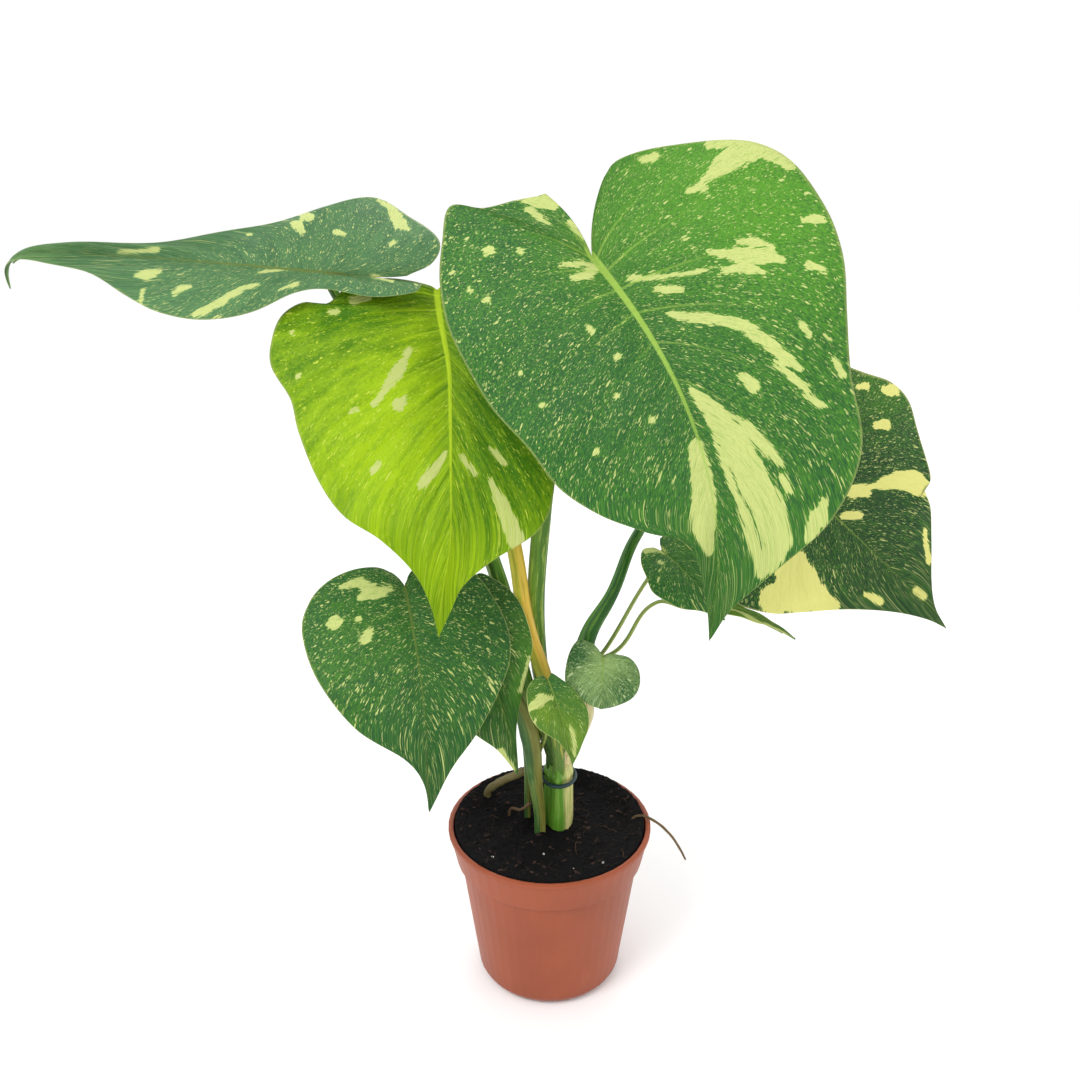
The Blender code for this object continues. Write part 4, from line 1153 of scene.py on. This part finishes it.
def crumb_material(name, dark, light, roughness=0.95):
    """Peat, bark or dry fibre: its own tone for each bit, with a fine grain."""
    surface, tree, shader = new_material(name, roughness, Specular_IOR_Level=0.15)
    place = node(tree, "ShaderNodeTexCoord").outputs["Object"]
    grain = cloud(tree, place, 900.0, 4.0, 0.65)
    uneven = sums(tree, "MULTIPLY", sums(tree, "SUBTRACT", grain, 0.5), 1.1)
    tone = sums(tree, "ADD", painted(tree, "tone"), uneven)
    colour = mixed(tree, mask_between(tree, tone, 0.05, 1.0), dark, light)
    tree.links.new(colour, shader.inputs["Base Color"])
    bumped(tree, shader, grain, 0.6 * MM)
    return surface


def soil_material(name, dark, brown):
    surface, tree, shader = new_material(name, 0.93, Specular_IOR_Level=0.12)
    place = node(tree, "ShaderNodeTexCoord").outputs["Object"]
    crumbs = cloud(tree, place, 650.0, 6.0, 0.7)
    clods = cloud(tree, place, 110.0, 3.0)
    tone = sums(tree, "MULTIPLY", crumbs, clods)
    colour = mixed(tree, mask_between(tree, tone, 0.26, 0.48), dark, brown)
    tree.links.new(colour, shader.inputs["Base Color"])
    moist = node(tree, "ShaderNodeMapRange", {"Value": clods, "To Min": 0.7, "To Max": 1.0})
    tree.links.new(moist.outputs["Result"], shader.inputs["Roughness"])
    bumped(tree, shader, crumbs, 1.4 * MM)
    return surface


def plastic_material(name, colour, shade, roughness):
    """Moulded nursery-pot plastic: a faint cloud of tone, fine scuffs and a soft pebble."""
    surface, tree, shader = new_material(name, roughness, Specular_IOR_Level=0.25)
    place = node(tree, "ShaderNodeTexCoord").outputs["Object"]
    tone = cloud(tree, place, 22.0, 3.0)
    flow = cloud(tree, stretched(tree, place, (160, 160, 14)), 1.0, 3.0)
    height = node(tree, "ShaderNodeSeparateXYZ", {"Vector": place}).outputs["Z"]
    colour_mix = mixed(tree, mask_between(tree, tone, 0.3, 0.7), shade, colour)
    scuff = sums(tree, "MULTIPLY", mask_between(tree, flow, 0.62, 0.8), 0.18)
    colour_mix = mixed(tree, scuff, colour_mix, (0.42, 0.16, 0.09))
    # Darker towards the bottom, in clouds of the tone
    darker_low = mask_below(tree, height, 0.0, 0.012)
    darker_low = sums(tree, "MULTIPLY", sums(tree, "MULTIPLY", darker_low, tone), 0.35)
    colour_mix = mixed(tree, darker_low, colour_mix, (0.18, 0.06, 0.035))
    speck = cloud(tree, place, 240.0, 2.0)
    speck = sums(tree, "MULTIPLY", mask_between(tree, speck, 0.74, 0.8), 0.5)
    colour_mix = mixed(tree, speck, colour_mix, (0.12, 0.04, 0.02))
    tree.links.new(colour_mix, shader.inputs["Base Color"])
    gloss = {"Value": tone, "To Min": roughness - 0.06, "To Max": roughness + 0.08}
    tree.links.new(node(tree, "ShaderNodeMapRange", gloss).outputs["Result"], shader.inputs["Roughness"])
    bumped(tree, shader, cloud(tree, place, 1400.0, 2.0), 0.06 * MM)
    return surface


# Sizes and colours that a user would change

def colour_setting(name, description, default):
    return FloatVectorProperty(name=name, description=description, subtype="COLOR", size=3, min=0, max=1,
                               default=default)


class MonsteraBladeSettings(bpy.types.PropertyGroup):
    dark_green: colour_setting("Dark green", "The blades' deepest green", (0.010, 0.080, 0.014))
    light_green: colour_setting("Light green", "The lighter green that clouds the blades",
                                (0.085, 0.275, 0.014))
    lime: colour_setting("Lime", "The youngest large blade's bright middle", (0.29, 0.46, 0.004))
    cream: colour_setting("Cream", "The patches and flecks", (0.50, 0.56, 0.18))
    solid_cream: colour_setting("Solid cream", "The wholly cream sectors", (0.72, 0.70, 0.21))
    midrib: colour_setting("Midrib", "The midribs and the first side veins", (0.27, 0.44, 0.06))
    puff: FloatProperty(name="Puff", description="How far the skin swells between side veins, in millimetres",
                        default=0.9, min=0, max=3)
    ripple: FloatProperty(name="Ripple", description="How far the margins wave, in millimetres",
                          default=1.2, min=0, max=4)


class MonsteraStalkSettings(bpy.types.PropertyGroup):
    green: colour_setting("Green", "The stalks' green", (0.09, 0.25, 0.02))
    cream: colour_setting("Cream", "The stalks' pale side", (0.66, 0.62, 0.24))
    yellow: colour_setting("Yellow", "The lime blade's stalk near its head", (0.58, 0.52, 0.05))
    tie: colour_setting("Tie", "The soft tie round the crown", (0.006, 0.040, 0.048))


class MonsteraPotSettings(bpy.types.PropertyGroup):
    terracotta: colour_setting("Terracotta", "The pot's plastic", (0.305, 0.072, 0.030))
    soil: colour_setting("Soil", "Wet peat", (0.005, 0.0045, 0.005))
    chips: IntProperty(name="Chips", description="Flakes of bark and peat on the soil",
                       default=340, min=0, max=1500)
    fibres: IntProperty(name="Fibres", description="Root hairs on the soil", default=26, min=0, max=600)


class MONSTERA_OT_stage(bpy.types.Operator):
    """Clears the start-up objects, then sets up the camera, the floor and the soft studio light"""
    bl_idname = "monstera.stage"
    bl_label = "Stage"

    def execute(self, context):
        scene = context.scene
        for word in ("Cube", "Light", "Camera"):
            if word in bpy.data.objects:
                bpy.data.objects.remove(bpy.data.objects[word], do_unlink=True)
        lens = bpy.data.cameras.new("view")
        lens.lens = CAMERA_LENS
        lens.sensor_width = CAMERA_SENSOR
        lens.clip_start = 0.01
        camera = bpy.data.objects.new("view", lens)
        camera.location = CAMERA_PLACE
        camera.rotation_euler = (math.pi / 2 + CAMERA_PITCH, 0, 0)
        scene.collection.objects.link(camera)
        scene.camera = camera

        ground = bpy.data.meshes.new("floor")
        ground.from_pydata([(-8, -8, 0), (8, -8, 0), (8, 8, 0), (-8, 8, 0)], [], [(0, 1, 2, 3)])
        floor = bpy.data.objects.new("floor", ground)
        surface, _, shader = new_material("Pale floor", 0.8)
        shader.inputs["Base Color"].default_value = (0.95, 0.95, 0.95, 1)
        ground.materials.append(surface)
        scene.collection.objects.link(floor)

        scene.view_settings.view_transform = "Standard"
        world = scene.world or bpy.data.worlds.new("Studio")
        scene.world = world
        world.use_nodes = True
        world.node_tree.nodes["Background"].inputs["Color"].default_value = (1, 1, 1, 1)
        world.node_tree.nodes["Background"].inputs["Strength"].default_value = 1.05
        for word, place, aim, size, power in (("key", (-0.9, -1.0, 1.7), (0, 0, 0.3), 0.9, 18),
                                              ("fill", (1.4, -0.9, 1.0), (0, 0, 0.25), 1.5, 3),
                                              ("back", (0.2, 1.3, 1.6), (0, 0, 0.3), 1.2, 6)):
            lamp = bpy.data.lights.new(word, "AREA")
            lamp.shape = "DISK"
            lamp.size = size
            lamp.energy = power
            light = bpy.data.objects.new(word, lamp)
            light.location = place
            light.rotation_euler = (Vector(place) - Vector(aim)).to_track_quat("Z", "Y").to_euler()
            scene.collection.objects.link(light)
        return {"FINISHED"}


class MONSTERA_OT_pot(bpy.types.Operator):
    """Gives the pot its moulded plastic"""
    bl_idname = "monstera.pot"
    bl_label = "Pot"

    def execute(self, context):
        colour = Vector(context.scene.monstera_pot.terracotta)
        look = plastic_material("Terracotta plastic", colour, colour * 0.84, 0.42)
        redressed("pot", look)
        return {"FINISHED"}


class MONSTERA_OT_soil(bpy.types.Operator):
    """Builds the crumbly soil with its bark, white lumps and root hairs"""
    bl_idname = "monstera.soil"
    bl_label = "Soil"

    def execute(self, context):
        settings = context.scene.monstera_pot
        dark = tuple(settings.soil)
        make_soil(soil_material("Peat", dark, (0.018, 0.013, 0.012)))
        bark = crumb_material("Bark", dark, (0.055, 0.032, 0.025))
        white = crumb_material("Perlite", (0.35, 0.33, 0.31), (0.75, 0.73, 0.70))
        dry = crumb_material("Root hair", (0.015, 0.010, 0.008), (0.08, 0.050, 0.030))
        scattered("bark_chips", settings.chips, bark_chip, bark, 11)
        scattered("white_lumps", 5, perlite, white, 5)
        scattered("root_hairs", settings.fibres, fibre, dry, 23)
        return {"FINISHED"}


class MONSTERA_OT_crown(bpy.types.Operator):
    """Builds the short stem and finishes the tie round it"""
    bl_idname = "monstera.crown"
    bl_label = "Stem and tie"

    def execute(self, context):
        settings = context.scene.monstera_stalks
        green, cream = tuple(settings.green), tuple(settings.cream)
        make_crown(stalk_material("Stem sheaths", green, cream, (0.20, 0.34, 0.06), 0.6, split=0.45))
        surface, tree, shader = new_material("Soft tie", 0.5)
        place = node(tree, "ShaderNodeTexCoord").outputs["Object"]
        weave = cloud(tree, place, 500.0, 2.0)
        shade = tuple(channel * 0.5 for channel in settings.tie)
        tree.links.new(mixed(tree, weave, shade, settings.tie), shader.inputs["Base Color"])
        bumped(tree, shader, weave, 0.3 * MM)
        redressed("tie", surface)
        return {"FINISHED"}


class MONSTERA_OT_stalks(bpy.types.Operator):
    """Builds the four main stalks and the six thinner ones, each with its channel, stripes and knee"""
    bl_idname = "monstera.stalks"
    bl_label = "Stalks"

    def execute(self, context):
        settings = context.scene.monstera_stalks
        green, yellow = tuple(settings.green), tuple(settings.yellow)
        dark = tuple(channel * 0.4 for channel in green)
        striped = stalk_material("Striped stalk", (0.13, 0.27, 0.02), (0.07, 0.18, 0.015),
                                 (0.36, 0.46, 0.08), 0.7)
        deep = stalk_material("Deep stalk", dark, green, (0.36, 0.48, 0.12), 0.5)
        orange = stalk_material("Pale stalk", (0.42, 0.42, 0.03), (0.74, 0.46, 0.06), (0.80, 0.62, 0.10), 0.4,
                                head=yellow, foot=(0.09, 0.19, 0.03))
        winged = stalk_material("Winged stalk", (0.05, 0.19, 0.015), (0.015, 0.09, 0.008),
                                (0.15, 0.32, 0.04), 0.4, foot=(0.72, 0.60, 0.30))
        thin = stalk_material("Thin stalk", (0.16, 0.24, 0.05), (0.28, 0.34, 0.08), (0.42, 0.46, 0.15), 0.4)
        edged = stalk_material("Edged stalk", (0.05, 0.13, 0.03), (0.17, 0.17, 0.03), (0.24, 0.30, 0.08), 0.4)
        thin_names = ("small_centre", "small_round", "small_right", "narrow_right")
        rows = [("front_stalk", "stalk_front_large", striped, (0.10, 0.15, 0.25)),
                ("lime_stalk", "stalk_lime", orange, (0.08, 0.20, 0.4)),
                ("left_stalk", "stalk_left_long", deep, (0.12, 0.15, 0.25)),
                ("right_stalk", "stalk_right_large", winged, (0.15, 0.45, 0.6)),
                ("lower_left_stalk", "stalk_lower_left", edged, (0.15, 0.5, 0.75)),
                ("tucked_stalk", "stalk_tucked", edged, (0.12, 0.3, 0.6))]
        rows += [(name + "_stalk", "stalk_" + name, thin, (0.1, 0.1, 0.3)) for name in thin_names]
        for name, node_name, look, groove_and_wing in rows:
            face = (-1, -0.4, 0.3) if look is winged else (0, -1, 0)
            stalk = fine_stalk(name, node_name, look, petiole_form(*groove_and_wing), face)
        pale = stalk_material("Midrib below", (0.22, 0.34, 0.12), (0.34, 0.46, 0.18), (0.5, 0.6, 0.25), 0.3)
        for node_name in (*MAIN_STALKS, *SOIL_STALKS):
            below = midrib_below(node_name.replace("stalk_", "") + "_midrib", node_name, pale)
        return {"FINISHED"}


class MONSTERA_OT_roots(bpy.types.Operator):
    """Builds the old stub and the two air roots"""
    bl_idname = "monstera.roots"
    bl_label = "Stub and roots"

    def execute(self, context):
        dry = stalk_material("Dry root", (0.10, 0.06, 0.03), (0.17, 0.11, 0.05), (0.26, 0.18, 0.09),
                             0.4, 0.85)
        olive = stalk_material("Old stub", (0.11, 0.09, 0.03), (0.19, 0.16, 0.05), (0.28, 0.24, 0.10),
                               0.4, 0.7)
        for node_name, (foot, radius, places) in RUNNERS.items():
            start = in_mm((*foot, 0)) + Vector((0, 0, SOIL_TOP - SOIL_HOLE_DEPTH + GAP))
            level = in_mm((*foot, 0)) + Vector((0, 0, SOIL_TOP - 2 * MM))
            points = [(start, radius * MM), (level, radius * MM)]
            points += [(in_mm(place), thick * MM) for place, thick in places]
            line, radii = way_through(points)

            def knobbly(angles, share, seed=radius):
                bumps = [noise.noise(Vector((math.cos(a), math.sin(a), 14 * share + seed))) for a in angles]
                return 1 + 0.16 * np.array(bumps) + 0.05 * math.sin(60 * share)

            look = olive if node_name == "stub" else dry
            root = sweep(node_name + "_bark", line, radii, look, ROOT_SIDES, knobbly)
            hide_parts(node_name)
        return {"FINISHED"}


class MONSTERA_OT_large_blades(bpy.types.Operator):
    """Builds the four large blades"""
    bl_idname = "monstera.large_blades"
    bl_label = "Large blades"

    def execute(self, context):
        s = context.scene.monstera_blades
        dark, light, cream, rib = (Vector(c) for c in (s.dark_green, s.light_green, s.cream, s.midrib))
        under = under_material("Blade underside", (0.05, 0.15, 0.03), (0.17, 0.30, 0.08), cream * 0.8)
        lime_under = under_material("Lime underside", (0.13, 0.26, 0.02), (0.30, 0.44, 0.06), cream)
        front = leaf_material("Front blade", dark, light, cream, rib, veins=0.5)
        # The left blade's greens are its own green with a painted grey-blue sheen mixed in, as it is seen at
        # a grazing angle
        left = leaf_material("Left blade green and painted sheen", (0.022, 0.10, 0.030), (0.13, 0.31, 0.085), cream, rib * 0.35,
                             dashes=0.2, veins=0.15, mottling=1.4, gloss=0.35)
        # The lime blade's strong streaks are painted glossy highlights, with its gloss kept low
        lime = leaf_material("Lime blade with painted highlights", (0.045, 0.15, 0.003), s.lime, cream * 0.9, (0.42, 0.60, 0.02), 0.3,
                             dust=0.2, dashes=0.2, spots=0.2, fleck=(0.44, 0.54, 0.05), veins=0.5,
                             vein_height=-0.3, streaks_and_highlights=1.7, mottling=1.2, gloss=0.1, rib_fade=0.4)
        right = leaf_material("Right blade", dark * 0.5, light * 0.95, s.solid_cream, rib * 0.5,
                              fleck=cream, lines=0.12, dashes=0.3)
        for name, node_name, look, veins, rib_width in (
                ("front_blade", "leaf_front_large", front, 11, 2.4),
                ("left_blade", "leaf_left_long", left, 9, 1.6),
                ("lime_blade", "leaf_lime", lime, 10, 2.2),
                ("right_blade", "leaf_right_large", right, 10, 1.4)):
            below = lime_under if look is lime else under
            fine_blade(name, node_name, look, below, LARGE_COLUMNS, LARGE_ROWS, veins, s.puff, s.ripple,
                       rib_width)
        return {"FINISHED"}


class MONSTERA_OT_small_blades(bpy.types.Operator):
    """Builds the two lower blades and the four small ones"""
    bl_idname = "monstera.small_blades"
    bl_label = "Small blades"

    def execute(self, context):
        s = context.scene.monstera_blades
        dark, light, cream, rib = (Vector(c) for c in (s.dark_green, s.light_green, s.cream, s.midrib))
        under = bpy.data.materials["Blade underside"]
        lower = leaf_material("Lower blade", dark * 0.9, light * 0.8, cream, rib * 0.35, dashes=0.36,
                              spots=0.24)
        tucked = leaf_material("Tucked blade", dark * 0.7, light * 0.7, cream, rib * 0.6, edge=0.9)
        plain = leaf_material("Small blade", dark, light, cream, rib * 0.6, edge=0.6)
        young = leaf_material("Young blade", dark * 1.3, (0.13, 0.24, 0.010), cream, rib * 0.6, dashes=0.1,
                              spots=0.05, mottling=1.6, edge=0.8)
        pale = leaf_material("Pale blade", (0.02, 0.09, 0.02), (0.25, 0.37, 0.12), cream, rib * 0.7, 0.5,
                             dashes=0.3, fleck=(0.42, 0.52, 0.26), veins=0.15, streaks_and_highlights=0.9, mottling=2.8)
        rows = (("lower_left_blade", "leaf_lower_left", lower, 110, 30, 8, 1.0),
                ("tucked_blade", "leaf_tucked", tucked, 90, 22, 7, 0.8),
                ("small_centre_blade", "leaf_small_centre", young, 70, 18, 6, 0.5),
                ("small_round_blade", "leaf_small_round", pale, 70, 18, 6, 0.4),
                ("small_right_blade", "leaf_small_right", plain, 70, 18, 6, 0.5),
                ("narrow_right_blade", "leaf_narrow_right", young, 70, 14, 6, 0.4))
        for name, node_name, look, columns, across, veins, rib_width in rows:
            small = LEAVES[node_name]["length"] / 0.2
            fine_blade(name, node_name, look, under, columns, across, veins, s.puff * small, s.ripple * small,
                       rib_width)
        return {"FINISHED"}


STEPS = (MONSTERA_OT_stage, MONSTERA_OT_pot, MONSTERA_OT_soil, MONSTERA_OT_crown, MONSTERA_OT_stalks,
         MONSTERA_OT_roots, MONSTERA_OT_large_blades, MONSTERA_OT_small_blades)
SETTINGS = (("monstera_blades", MonsteraBladeSettings), ("monstera_stalks", MonsteraStalkSettings),
            ("monstera_pot", MonsteraPotSettings))


class MONSTERA_PT_panel(bpy.types.Panel):
    """Lists the steps that build the plant, in their order"""
    bl_idname = "MONSTERA_PT_panel"
    bl_label = "Potted monstera"
    bl_space_type = "VIEW_3D"
    bl_region_type = "UI"
    bl_category = "Monstera"

    def draw(self, context):
        for step in STEPS:
            self.layout.operator(step.bl_idname)


def register():
    for _, group in SETTINGS:
        bpy.utils.register_class(group)
    for step in (*STEPS, MONSTERA_PT_panel):
        bpy.utils.register_class(step)
    for word, group in SETTINGS:
        setattr(bpy.types.Scene, word, PointerProperty(type=group))


def unregister():
    for word, _ in SETTINGS:
        delattr(bpy.types.Scene, word)
    for step in (MONSTERA_PT_panel, *reversed(STEPS)):
        bpy.utils.unregister_class(step)
    for _, group in reversed(SETTINGS):
        bpy.utils.unregister_class(group)


def main():
    register()
    bpy.ops.monstera.stage()
    bpy.ops.monstera.pot()
    bpy.ops.monstera.soil()
    bpy.ops.monstera.crown()
    bpy.ops.monstera.stalks()
    bpy.ops.monstera.roots()
    bpy.ops.monstera.large_blades()
    bpy.ops.monstera.small_blades()
    bpy.context.view_layer.update()


if __name__ == "__main__":
    main()
